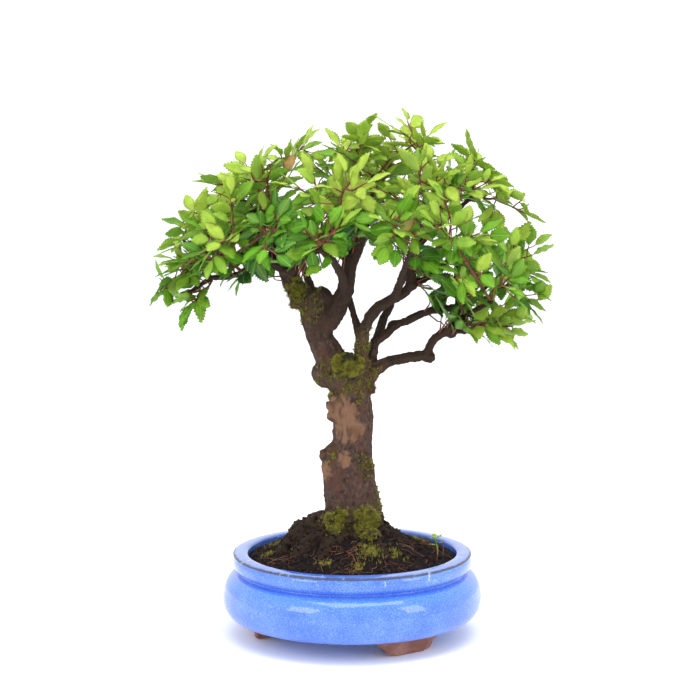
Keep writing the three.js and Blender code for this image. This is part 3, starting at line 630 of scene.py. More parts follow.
@dataclass
class Shape:
    """The points, faces and point values of one piece, in millimetres."""

    points: list[np.ndarray] = field(default_factory=list)
    faces: list[tuple[int, ...]] = field(default_factory=list)
    finish_numbers: list[int] = field(default_factory=list)
    values: list[dict[str, np.ndarray]] = field(default_factory=list)
    count: int = 0

    def add(
        self,
        points: np.ndarray,
        faces: Iterable[tuple[int, ...]],
        finish_number: int = 0,
        **values: float | np.ndarray,
    ) -> None:
        """Adds a closed body.

        Args:
            points: Its points, one row each.
            faces: Its faces, as numbers of its own points.
            finish_number: Which of the piece's finishes it has.
            values: Values stored on its points, for the finishes to read.
        """
        faces = list(faces)
        self.faces.extend(tuple(i + self.count for i in face) for face in faces)
        self.finish_numbers.extend([finish_number] * len(faces))
        self.points.append(np.asarray(points, float))
        count = len(points)
        self.values.append(
            {key: np.broadcast_to(np.asarray(v, float), count) for key, v in values.items()}
        )
        self.count += count

    def build(
        self, name: str, finishes: list[Finish], slot: str, node: Optional[str] = None
    ) -> bpy.types.Object:
        """Makes the Blender object, dresses it and puts it on the part.

        Args:
            name: The piece's name.
            finishes: Its finishes, in the order of the finish numbers.
            slot: The record's material slot.
            node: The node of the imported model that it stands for, if any.

        Returns:
            The new object.
        """
        mesh = bpy.data.meshes.new(name)
        mesh.from_pydata((np.concatenate(self.points) * MM).tolist(), [], self.faces)
        for finish in finishes:
            mesh.materials.append(finish.material())
        mesh.polygons.foreach_set("material_index", self.finish_numbers)
        mesh.polygons.foreach_set("use_smooth", [True] * len(self.faces))
        for key in sorted({key for values in self.values for key in values}):
            parts = [
                values.get(key, np.zeros(len(points)))
                for values, points in zip(self.values, self.points)
            ]
            attribute = mesh.attributes.new(key, "FLOAT", "POINT")
            attribute.data.foreach_set("value", np.concatenate(parts).astype(np.float32))
        mesh.update()
        return place(bpy.data.objects.new(name, mesh), slot, node)


def read(items: bpy.types.bpy_prop_collection, key: str, width: int, kind: type) -> np.ndarray:
    """Reads a property of every item of a mesh.

    Args:
        items: The mesh's vertices, edges or triangles.
        key: The property's name.
        width: How many numbers it has.
        kind: The type of those numbers.

    Returns:
        One row for each item.
    """
    numbers = np.zeros(len(items) * width, kind)
    items.foreach_get(key, numbers)
    return numbers.reshape(-1, width)


def place(piece: bpy.types.Object, slot: str, node: Optional[str] = None) -> bpy.types.Object:
    """Puts a piece on the part's body.

    Args:
        piece: The finished object.
        slot: The record's material slot.
        node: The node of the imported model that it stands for, if any.

    Returns:
        The same object.
    """
    bpy.context.scene.collection.objects.link(piece)
    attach(piece, "root")
    if node:
        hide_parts(node)
    log.info("%s: %d faces, slot %s", piece.name, len(piece.data.polygons), slot)
    return piece


def unit(vector: np.ndarray) -> np.ndarray:
    """Returns the vector at length 1."""
    return vector / max(float(np.linalg.norm(vector)), 1e-9)


def clouds(points: np.ndarray, size: float, octaves: int = 3) -> np.ndarray:
    """Returns fractal noise at each point, about -1 to 1, with lumps of the given size."""
    values = (noise.fractal(Vector(p), 1.0, 2.0, octaves) for p in points / size)
    return np.fromiter(values, float, len(points))


def rounded_route(points: np.ndarray, steps: int = 4) -> np.ndarray:
    """Draws a smooth curve through the rows of a route, with the given steps between each two."""
    if len(points) < 3:
        shares = np.linspace(0, 1, steps + 1)[:, None]
        return points[0] * (1 - shares) + points[-1] * shares
    ends = np.vstack([2 * points[0] - points[1], points, 2 * points[-1] - points[-2]])
    rows = []
    for a, b, c, d in zip(ends, ends[1:], ends[2:], ends[3:]):
        for t in np.linspace(0, 1, steps, endpoint=False):
            curve = 2 * b + (c - a) * t + (2 * a - 5 * b + 4 * c - d) * t**2
            rows.append(0.5 * (curve + (3 * b - a - 3 * c + d) * t**3))
    return np.array(rows + [points[-1]])


def ring_faces(rings: int, segments: int, looped: bool = False) -> list[tuple[int, ...]]:
    """Joins rings of points to a skin that faces out.

    Args:
        rings: How many rings there are.
        segments: How many points each ring has.
        looped: Whether the last ring joins the first. If not, two more points close the ends,
            numbered after those of the rings.

    Returns:
        The faces.
    """
    steps = [(j, (j + 1) % segments) for j in range(segments)]
    faces: list[tuple[int, ...]] = []
    for i in range(rings if looped else rings - 1):
        a, b = i * segments, (i + 1) % rings * segments
        faces += [(a + j, a + k, b + k, b + j) for j, k in steps]
    if not looped:
        foot, last = rings * segments, (rings - 1) * segments
        faces += [(foot, k, j) for j, k in steps]
        faces += [(foot + 1, last + j, last + k) for j, k in steps]
    return faces


def tube(route: np.ndarray, radii: np.ndarray, sides: int) -> tuple[np.ndarray, list]:
    """Makes a closed round bar with domed ends.

    Args:
        route: The points of its centre line.
        radii: Its radius at each point.
        sides: How many sides it has.

    Returns:
        Its points and its faces.
    """
    headings = np.gradient(route, axis=0)
    headings /= np.linalg.norm(headings, axis=1, keepdims=True).clip(1e-9)
    across = np.cross(headings[0], UP if abs(headings[0][2]) < 0.8 else np.array([1.0, 0, 0]))
    angles = np.linspace(0, 2 * np.pi, sides, endpoint=False)
    rows = []
    for centre, heading, radius in zip(route, headings, radii):
        across = unit(across - heading * np.dot(across, heading))
        other = np.cross(heading, across)
        ring = np.outer(np.cos(angles), across) + np.outer(np.sin(angles), other)
        rows.append(centre + ring * radius)
    foot = route[0] - headings[0] * radii[0] * DOME_SHARE
    top = route[-1] + headings[-1] * radii[-1] * DOME_SHARE
    return np.vstack(rows + [foot, top]), ring_faces(len(route), sides)


def turned_body(profile: np.ndarray, segments: int) -> tuple[np.ndarray, list]:
    """Turns a closed body about +Z.

    Args:
        profile: Rows of radius and height that start and end on the axis.
        segments: How many segments it has.

    Returns:
        Its points and its faces, which face out for a profile that starts underneath.
    """
    angles = np.linspace(0, 2 * np.pi, segments, endpoint=False)
    inner = profile[1:-1]
    rings = [
        np.column_stack([r * np.cos(angles), r * np.sin(angles), np.full(segments, z)])
        for r, z in inner
    ]
    points = np.vstack(rings + [[0, 0, profile[0][1]], [0, 0, profile[-1][1]]])
    return points, ring_faces(len(inner), segments)


def cad_points(node: str) -> tuple[np.ndarray, np.ndarray]:
    """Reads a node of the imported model, with the points that share a place made one.

    Args:
        node: The node's name.

    Returns:
        Its points in millimetres, and its triangles as point numbers.
    """
    mesh = frame["nodes"][node].data
    mesh.calc_loop_triangles()
    rows = read(mesh.vertices, "co", 3, float) / MM
    places = np.round(rows / SAME_PLACE_MM).astype(int)
    _, first, same = np.unique(places, axis=0, return_index=True, return_inverse=True)
    merged = same.reshape(-1)[read(mesh.loop_triangles, "vertices", 3, int)]
    whole = (merged != np.roll(merged, 1, axis=1)).all(axis=1)
    return rows[first], merged[whole]


@dataclass(frozen=True)
class Resurfaced:
    """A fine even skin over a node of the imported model, without its facets."""

    voxel_mm: float
    passes: int = 20

    def skin(self, node: str) -> tuple[np.ndarray, list, np.ndarray]:
        """Makes the skin.

        Args:
            node: The node's name.

        Returns:
            Its points in millimetres, its faces and its outward normals.
        """
        copy = bpy.data.objects.new("resurfaced", frame["nodes"][node].data.copy())
        bpy.context.scene.collection.objects.link(copy)
        remesh = copy.modifiers.new("skin", "REMESH")
        remesh.mode = "VOXEL"
        remesh.voxel_size = self.voxel_mm * MM
        graph = bpy.context.evaluated_depsgraph_get()
        mesh = bpy.data.meshes.new_from_object(copy.evaluated_get(graph))
        points = read(mesh.vertices, "co", 3, float) / MM
        faces = [tuple(polygon.vertices) for polygon in mesh.polygons]
        points = self.eased(points, read(mesh.edges, "vertices", 2, int))
        mesh.vertices.foreach_set("co", points.astype(np.float32).ravel())
        mesh.update()
        normals = read(mesh.vertices, "normal", 3, float)
        bpy.data.objects.remove(copy)
        bpy.data.meshes.remove(mesh)
        return points, faces, normals

    def eased(self, points: np.ndarray, edges: np.ndarray) -> np.ndarray:
        """Smooths points without shrinking them, by a step in and a slightly longer step out."""
        degree = np.bincount(edges.ravel(), minlength=len(points))[:, None].clip(1)
        for _ in range(self.passes):
            for step in (0.5, -0.53):
                sums = np.zeros_like(points)
                for axis, column in enumerate(points.T):
                    for here, there in (edges.T, edges.T[::-1]):
                        sums[:, axis] += np.bincount(here, column[there], len(points))
                points = points + step * (sums / degree - points)
        return points


# ---------------------------------------------------------------- pot


@dataclass
class GlazedPot:
    """The round pot: a bulging body, a groove, a rounded collar and a flat-topped rim."""

    segments: int = 224
    rim_inset: float = 8.5
    rim_width: float = 12.5
    collar_depth: float = 15.0
    neck_inset: float = 14.0
    belly_drop: float = 35.0
    underside_inset: float = 12.0
    wall: float = 7.5
    floor: float = 7.0
    drain_radius: float = 10.0
    hand_wobble: float = 0.25

    def __post_init__(self) -> None:
        """Takes the pot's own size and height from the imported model."""
        low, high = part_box("pot")
        self.radius = high.x / MM
        self.foot = low.z / MM
        self.height = high.z / MM

    def arc(
        self, centre: tuple[float, float], reach: tuple[float, float], turn: tuple[float, float]
    ) -> list[tuple[float, float]]:
        """Returns points on an ellipse, from one angle in degrees to another."""
        angles = np.radians(np.linspace(turn[0], turn[1], 15))
        return [
            (centre[0] + reach[0] * math.cos(a), centre[1] + reach[1] * math.sin(a))
            for a in angles
        ]

    def profile(self) -> np.ndarray:
        """Returns radius and height from the drain hole's lower edge, out, up, in and down."""
        under = self.radius - self.underside_inset
        belly = self.height - self.belly_drop
        neck = self.radius - self.neck_inset
        neck_height = self.height - self.collar_depth
        rim = self.radius - self.rim_inset
        mouth = rim - self.rim_width
        rows = [(self.drain_radius, self.foot), (self.drain_radius + 25, self.foot)]
        rows += [(under - 8, self.foot)]
        rows += self.arc((under, belly), (self.radius - under, belly - self.foot), (-88, 0))
        rows += self.arc((neck, belly), (self.radius - neck, neck_height - belly - 0.8), (4, 84))
        rows += [(neck + 0.5, neck_height - 0.7), (neck + 0.15, neck_height)]
        rows += [(neck + 0.4, neck_height + 0.9)]
        middle = (neck_height + self.height) / 2 + 0.6
        rows += self.arc(
            (rim - 4.6, middle), (4.6, (self.height - neck_height) / 2 - 0.6), (-68, 38)
        )
        rows += [(rim - 0.5, self.height - 1.25), (rim - 1.1, self.height - 0.75)]
        rows += [(rim - 2.2, self.height - 0.45), (rim - 5, self.height - 0.2)]
        rows += [(mouth + 4, self.height), (mouth + 1.6, self.height - 0.15)]
        rows += [(mouth + 0.5, self.height - 0.6), (mouth, self.height - 1.6)]
        rows += [(mouth - 0.2, self.height - 6), (neck - self.wall, neck_height)]
        rows += [(self.radius - self.wall - 2, belly + 4), (self.radius - self.wall, belly - 4)]
        rows += [(under - self.wall + 2, self.foot + self.floor + 4)]
        rows += [(under - self.wall - 4, self.foot + self.floor)]
        rows += [(self.drain_radius + 1, self.foot + self.floor)]
        rows += [(self.drain_radius, self.foot + self.floor - 1)]
        return np.array(rows)

    def build(self) -> None:
        """Turns the pot as a ring with the drain hole left open, and glazes it."""
        profile = self.profile()
        angles = np.linspace(0, 2 * np.pi, self.segments, endpoint=False)
        rows = []
        for radius, height in profile:
            lift = height - self.foot
            # A thrown pot is never quite round: it leans in and out by a quarter millimetre.
            wobble = self.hand_wobble * np.sin(3 * angles + 0.05 * lift) * min(lift / 10, 1)
            wobble = wobble * (0.4 if radius < self.drain_radius + 30 else 1)
            r = radius + wobble - self.hand_wobble * (radius > self.radius - 1)
            ring = [r * np.cos(angles), r * np.sin(angles), np.full(self.segments, height)]
            rows.append(np.column_stack(ring))
        shape = Shape()
        shape.add(np.vstack(rows), ring_faces(len(profile), self.segments, looped=True))
        shape.build("glazed_pot", [DippedBlueGlaze()], "pot_glaze", "pot")


@dataclass
class CloudFeet:
    """Three pressed clay feet with scrolled ends and softened edges."""

    names: tuple[str, ...] = ("foot_front_right", "foot_left", "foot_back")
    skin: Resurfaced = Resurfaced(0.9, 10)

    def build(self) -> None:
        """Gives each foot softened edges and the small dents of a press mould."""
        for name in self.names:
            points, faces, normals = self.skin.skin(name)
            floor, roof = points[:, 2].min(), points[:, 2].max()
            inside = np.clip(np.minimum(points[:, 2] - floor, roof - points[:, 2]) / 2, 0, 1)
            dents = 0.35 * clouds(points, 7.0) - 0.35
            points = points + normals * (dents * inside)[:, None]
            low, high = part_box(name)
            points[:, 2] = np.clip(points[:, 2], low.z / MM, high.z / MM)
            shape = Shape()
            shape.add(points, faces)
            shape.build(f"clay_{name}", [BareFiredClay()], "foot_clay", name)


# ---------------------------------------------------------------- soil


def icosahedron() -> tuple[np.ndarray, list[tuple[int, int, int]]]:
    """Returns the corners of an icosahedron with sides of 2, and its outward faces."""
    golden = (1 + 5**0.5) / 2
    signs = [(s, t * golden) for s in (-1, 1) for t in (-1, 1)]
    rows = [(s, t, 0.0) for s, t in signs] + [(0.0, s, t) for s, t in signs]
    corners = np.array(rows + [(t, 0.0, s) for s, t in signs])
    faces = []
    for a, b, c in combinations(range(len(corners)), 3):
        p, q, r = corners[[a, b, c]]
        if max(np.linalg.norm(side) for side in (q - p, r - q, r - p)) < 2.01:
            out = np.dot(np.cross(q - p, r - p), p)
            faces.append((a, b, c) if out > 0 else (a, c, b))
    return corners, faces


CORNERS, ICOSAHEDRON = icosahedron()


@dataclass
class SoilBed:
    """The soil: a mound with crumbs, grit, bark bits and fine roots on it."""

    edge: float = 61.5
    mound: float = 11.5
    bank: float = 14.0
    bank_reach: float = 46.0
    radius: float = 83.4
    crumb_count: int = 1500
    fibre_count: int = 150
    crumbs_on_roots: int = 900
    # The bed's sides below the crumbs, as radius and height, where the pot bulges.
    sides: tuple[tuple[float, float], ...] = (
        (81.0, 22.1), (87.0, 26.0), (97.0, 28.5), (95.0, 36.0), (80.6, 52.0),
    )
    # A stout root end in front, and the foot and height of each dead stalk.
    root_end: tuple[float, float, float] = (-6.0, -48.0, 72.0)
    stalks: tuple[tuple[float, float, float], ...] = ((78.0, -14.0, 13.0), (72.0, -30.0, 10.0))
    rings: int = 64
    segments: int = 220
    rng: np.random.Generator = field(default_factory=lambda: np.random.default_rng(7))

    def height(self, x: np.ndarray, y: np.ndarray) -> np.ndarray:
        """Returns the height of the soil before its crumbs."""
        out = np.minimum(np.hypot(x, y) / self.radius, 1)
        lumps = 1.1 * np.sin(x / 9.3 + 1) * np.cos(y / 7.7) * (1 - out**6)
        banked = self.bank * np.exp(-(x**2 + (y + 6) ** 2) / self.bank_reach**2)
        return self.edge + self.mound * (1 - out**2.2) + lumps + banked

    def surface(self) -> tuple[np.ndarray, list]:
        """Makes the bed as one closed body, with a crumbly top and plain sides and floor."""
        inner = [(radius, 0.0) for radius in np.linspace(1.2, self.radius, self.rings)]
        foot, top = (0, self.sides[0][1]), (0, self.edge + self.mound)
        profile = np.array([foot, *self.sides, *inner[::-1], top])
        points, faces = turned_body(profile, self.segments)
        upper = np.hypot(points[:, 0], points[:, 1]) <= self.radius + 0.01
        upper &= (points[:, 2] == 0) | (points[:, 2] > self.edge + 5)
        spots = points[upper]
        crumbs = 1.5 * clouds(spots, 3.2, 4) + 0.8 * clouds(spots, 9.0, 2)
        crumbs *= np.clip((self.radius - np.hypot(spots[:, 0], spots[:, 1])) / 3, 0.15, 1)
        points[upper, 2] = self.height(spots[:, 0], spots[:, 1]) + crumbs
        return points, faces

    def crumb(self) -> tuple[np.ndarray, list]:
        """Makes one angular crumb about 2 mm across."""
        corners = CORNERS / np.linalg.norm(CORNERS[0]) * (1 + self.rng.normal(0, 0.16, (12, 1)))
        return corners * self.rng.uniform(0.55, 1.3, 3), ICOSAHEDRON

    def spots(self, count: int, wall_gap: float) -> np.ndarray:
        """Returns places on the bed, spread evenly, away from the wall by the gap."""
        angle = self.rng.uniform(0, 2 * np.pi, count)
        radius = (self.radius - wall_gap) * np.sqrt(self.rng.uniform(0.05, 1, count))
        x, y = radius * np.cos(angle), radius * np.sin(angle)
        return np.column_stack([x, y, self.height(x, y)])

    def build(self) -> None:
        """Builds the bed, its crumbs and its fibres as two pieces."""
        shape = Shape()
        points, faces = self.surface()
        shape.add(points, faces, dryness=0.0)
        for spot in self.spots(self.crumb_count, 3.0):
            points, faces = self.crumb()
            size = min(self.rng.lognormal(0.0, 0.45), 2.2)
            dry = float(np.clip(self.rng.normal(0.15, 0.22), 0, 1))
            points = points * size + spot + UP * self.rng.uniform(-0.4, 0.9)
            shape.add(points, faces, dryness=dry)
        shape.build("potting_soil", [DampPottingSoil()], "soil", "soil")
        litter = Shape()
        for spot in self.spots(self.fibre_count, 8.0):
            self.add_fibre(litter, spot, self.rng.uniform(7, 26), self.rng.uniform(0.12, 0.3))
        self.add_fibre(litter, np.array(self.root_end), 30, 0.5)
        for x, y, height in self.stalks:
            foot = np.array([x * 0.93, y, self.height(np.array(x * 0.93), np.array(y))])
            ends = np.array([foot, foot + [0.6, 0, height / 2], foot + [0, 0, height]])
            route = rounded_route(ends)
            litter.add(*tube(route, np.full(len(route), 0.4), 6), straw=0.15)
        litter.build("fibres_and_stalks", [YoungTwigBark()], "soil")

    def dust_roots(self, ledges: np.ndarray) -> None:
        """Leaves crumbs and fibres of the soil on the surface roots.

        Args:
            ledges: Points on the roots and the bark's outward direction at each.
        """
        shape = Shape()
        for i in self.rng.choice(len(ledges), self.crumbs_on_roots):
            points, faces = self.crumb()
            size = self.rng.uniform(0.5, 1.7)
            dry = float(np.clip(self.rng.normal(0.2, 0.25), 0, 1))
            shape.add(points * size + ledges[i][:3], faces, dryness=dry)
        shape.build("soil_on_roots", [DampPottingSoil()], "soil")

    def add_fibre(self, litter: Shape, spot: np.ndarray, length: float, radius: float) -> None:
        """Lays one root fibre or dead stalk on the bed, bent in two places."""
        turn = self.rng.uniform(0, 2 * np.pi)
        rows = []
        for share in np.linspace(-0.5, 0.5, 5):
            turn += self.rng.normal(0, 0.35)
            x = spot[0] + share * length * math.cos(turn)
            y = spot[1] + share * length * math.sin(turn)
            out = math.hypot(x, y)
            if out > self.radius - 3:
                x, y = x * (self.radius - 3) / out, y * (self.radius - 3) / out
            rise = self.rng.uniform(0.5, 2.0)
            rows.append((x, y, float(self.height(np.array(x), np.array(y))) + rise))
        route = rounded_route(np.array(rows))
        radii = radius * np.linspace(1, 0.5, len(route))
        litter.add(*tube(route, radii, 5), straw=float(self.rng.uniform(0, 0.9) ** 3))


# ---------------------------------------------------------------- wood


@dataclass(frozen=True)
class Spot:
    """A soft-edged place on the bark, for a shed patch or algae."""

    centre: tuple[float, float, float]
    reach: tuple[float, float, float]

    def weight(self, points: np.ndarray, ragged: np.ndarray) -> np.ndarray:
        """Returns 1 well inside the place and 0 outside it, with a ragged edge."""
        away = np.linalg.norm((points - self.centre) / np.array(self.reach), axis=1)
        return np.clip((1.05 - away + ragged) * 5, 0, 1)


@dataclass
class ElmWood:
    """The trunk, its limbs and surface roots, with plated bark."""

    skin: Resurfaced = Resurfaced(1.1, 12)
    plate_mm: float = 6.5
    warp_mm: float = 3.6
    crack_depth: float = 0.8
    lump_depth: float = 1.0
    mossy: np.ndarray = field(default_factory=lambda: np.zeros((0, 6)))
    ledges: np.ndarray = field(default_factory=lambda: np.zeros((0, 6)))
    shed: tuple[Spot, ...] = (
        Spot((-8, -15, 180), (15, 16, 15)),
        Spot((-3, -16, 167), (16, 14, 9)),
        Spot((-16, -9, 185), (8, 12, 9)),
        Spot((-5, -20, 144), (8, 8, 5.5)),
        Spot((-21, -10, 133), (6, 12, 10)),
    )
    algae: tuple[Spot, ...] = (
        Spot((11, -16, 138), (9, 10, 11)),
        Spot((20, -8, 108), (7, 16, 14)),
        Spot((0, -16, 209), (34, 18, 20)),
        Spot((-40, -8, 273), (18, 16, 22)),
        Spot((2, -26, 95), (34, 18, 13)),
        Spot((-16, -14, 147), (5, 12, 10)),
        Spot((8, -8, 231), (16, 12, 18)),
    )

    def build(self) -> None:
        """Cracks and lumps the skin, stores the bark's values on it and dresses it."""
        points, faces, normals = self.skin.skin("trunk")
        ragged = 0.28 * clouds(points, 6.0, 3)
        algae = np.max([spot.weight(points, ragged * 1.6) for spot in self.algae], axis=0)
        stout = self.stoutness(points)
        squash = np.array([1.0, 1.0, 0.62])
        warp = np.column_stack([clouds(points + shift, 7.0, 3) for shift in (0, 57, 113)])
        cells = (points * squash + self.warp_mm * warp) / self.plate_mm
        edge, plates = plate_edges(cells)
        # A plate is shed whole, so a patch's outline follows the plates around it.
        plate_at = (plates * self.plate_mm - self.warp_mm * warp) / squash
        halfway = 0.6 * plate_at + 0.4 * points
        shed = np.max([spot.weight(halfway, ragged * 0.6) for spot in self.shed], axis=0)
        streaks = clouds(points * np.array([1.0, 1.0, 0.3]), 3.4, 3)
        shed *= np.clip(1.15 - 1.6 * np.clip(streaks - 0.12, 0, 1), 0, 1)
        lumps = clouds(points, 12.0, 4)
        # Old plates have run together in places, so the cracks come and go.
        open_crack = np.clip(0.35 + 1.5 * clouds(points, 10.0, 2), 0.08, 1)
        crack = np.clip(1 - edge / 0.16, 0, 1) * (1 - 0.93 * shed) * stout * open_crack
        fine = clouds(points, 2.6, 2)
        depth = self.lump_depth * lumps * (0.25 + 0.75 * stout) * (1 - 0.6 * shed)
        depth += 0.42 * fine * (1 - 0.8 * shed) - self.crack_depth * crack - 0.5 * shed * stout
        low = np.clip((105 - points[:, 2]) / 12, 0, 1)
        depth += low * (2.4 * clouds(points, 7.0, 3) + 0.5 * fine)
        points = points + normals * depth[:, None]
        limb = np.clip((points[:, 2] - 220) / 45, 0, 0.85) * (1 - 0.8 * algae)
        limb = np.maximum(limb, low)
        limb = np.maximum(limb, np.clip((points[:, 0] - 20) / 12, 0, 0.85) * (points[:, 2] > 185))
        shape = Shape()
        shape.add(
            points,
            faces,
            shed=shed,
            algae=algae,
            crack=np.clip(crack * 0.85 + np.clip(-fine, 0, 1) * 0.25, 0, 1),
            limb=limb,
        )
        shape.build("elm_trunk_and_limbs", [PlatedElmBark()], "bark", "trunk")
        both = np.column_stack([points, normals])
        self.mossy = both[(algae > 0.4) & (clouds(points, 5.0) > 0.12)]
        self.ledges = both[(low > 0.6) & (normals[:, 2] > -0.1)]

    def stoutness(self, points: np.ndarray) -> np.ndarray:
        """Returns 1 on the old trunk and less on the thin limbs, by height above the fork."""
        above = np.clip((points[:, 2] - 220) / 90, 0, 1)
        outwards = np.clip((np.hypot(points[:, 0], points[:, 1]) - 35) / 60, 0, 1)
        return 1 - 0.85 * np.maximum(above, outwards * (points[:, 2] > 125))


def plate_edges(cells: np.ndarray) -> tuple[np.ndarray, np.ndarray]:
    """Finds the bark plate that each point is on.

    Args:
        cells: The points, in widths of a plate.

    Returns:
        How far each point is from the nearest crack, and the middle of its plate.
    """
    gaps, middles = [], []
    for cell in cells:
        near, spots = noise.voronoi(Vector(cell))
        gaps.append(near[1] - near[0])
        middles.append(tuple(spots[0]))
    return np.array(gaps), np.array(middles)


@dataclass
class MossCushions:
    """Cushion moss on the root flare, in the fork and on a limb, and tufts on the soil."""

    soil: SoilBed
    wood: ElmWood
    # Each cushion's node, and how much of it has died back to bare bark.
    cushions: tuple[tuple[str, float], ...] = (
        ("root_moss_left", 0.42),
        ("root_moss_right", 0.38),
        ("fork_moss", 0.8),
        ("limb_moss", 0.7),
    )
    tufts_per_cushion: int = 560
    tufts_on_bark: int = 900
    blade_mm: float = 3.3
    blade_radius_mm: float = 0.24
    blades_per_tuft: int = 5
    # The tufts on the soil: the place of each patch, its reach and how many tufts it has.
    patches: tuple[tuple[float, float, float, int], ...] = (
        (-58, 12, 9, 60), (-44, -20, 8, 50), (14, -46, 11, 120), (34, -40, 8, 40),
        (4, -66, 6, 30), (-20, -60, 5, 20), (-66, -18, 6, 30), (52, 26, 9, 40),
        (-30, 60, 10, 60), (20, 66, 8, 40),
    )
    rng: np.random.Generator = field(default_factory=lambda: np.random.default_rng(11))

    def build(self) -> None:
        """Builds each cushion, then the tufts on the soil."""
        for node, thinning in self.cushions:
            points, faces, normals = Resurfaced(0.8, 6).skin(node)
            shape = Shape()
            away = np.linalg.norm(points - points.mean(axis=0), axis=1)
            frayed = 1.6 * (away / away.max() - 0.6)
            bare = np.clip(thinning + frayed - 2.6 * clouds(points, 7.5, 3), 0, 1)
            lumps = 0.9 * clouds(points, 4.0, 2) - 0.9 - 2.6 * bare
            points = points + normals * lumps[:, None]
            shape.add(points, faces, along=0.1 * (1 - bare))
            growing = np.flatnonzero(bare < 0.55)
            for i in self.rng.choice(growing, self.tufts_per_cushion):
                self.add_tuft(shape, points[i] - normals[i] * 0.5, normals[i])
            shape.build(f"moss_{node}", [CushionMoss()], "moss", node)
        shape = Shape()
        for i in self.rng.choice(len(self.wood.mossy), self.tufts_on_bark):
            root, away = self.wood.mossy[i][:3], self.wood.mossy[i][3:]
            self.add_tuft(shape, root - away * 0.4, away)
        shape.build("moss_on_bark", [CushionMoss()], "moss")
        shape = Shape()
        for x, y, reach, count in self.patches:
            for _ in range(count):
                spot = np.array([x, y]) + self.rng.normal(0, reach / 2, 2)
                height = float(self.soil.height(*spot))
                if np.hypot(*spot) < self.soil.radius - 3:
                    self.add_tuft(shape, np.array([*spot, height]), UP)
        shape.build("moss_on_soil", [CushionMoss()], "moss")

    def add_tuft(self, shape: Shape, root: np.ndarray, away: np.ndarray) -> None:
        """Grows one tuft of small blades from a root, away from what it stands on."""
        for _ in range(self.blades_per_tuft):
            lean = unit(away + UP * 0.35 + self.rng.normal(0, 0.55, 3))
            side = unit(np.cross(lean, self.rng.normal(0, 1, 3)))
            other = np.cross(lean, side)
            length = self.blade_mm * self.rng.uniform(0.5, 1.15)
            foot = root + self.rng.normal(0, 0.35, 3)
            ring = [
                foot + self.blade_radius_mm * (math.cos(a) * side + math.sin(a) * other)
                for a in (0, 2.09, 4.19)
            ]
            points = np.array(ring + [foot + lean * length])
            faces = [(0, 1, 3), (1, 2, 3), (2, 0, 3), (2, 1, 0)]
            along = np.array([0.1, 0.1, 0.1, self.rng.uniform(0.55, 1.0)])
            shape.add(points, faces, along=along)


# ---------------------------------------------------------------- leaves and shoots


class Tone(Enum):
    """How old and how sunny a shoot's leaves are."""

    YOUNG = ("leaf_young", 0.86)
    SUMMER = ("leaf_summer", 0.5)
    SHADED = ("leaf_shaded", 0.22)

    @classmethod
    def of(cls, node: str) -> "Tone":
        """Returns the tone of a shoot, from its material slot in the record."""
        slots = {s["node"]: s["material_slot"] for s in frame["record"]["subparts"]}
        return next(tone for tone in cls if tone.value[0] == slots[node])


@dataclass(frozen=True)
class LeafPlan:
    """Where one leaf stands: its base on the twig, its heading, its upper side and its size."""

    base: np.ndarray
    heading: np.ndarray
    upper: np.ndarray
    length: float
    width: float
    tone: float


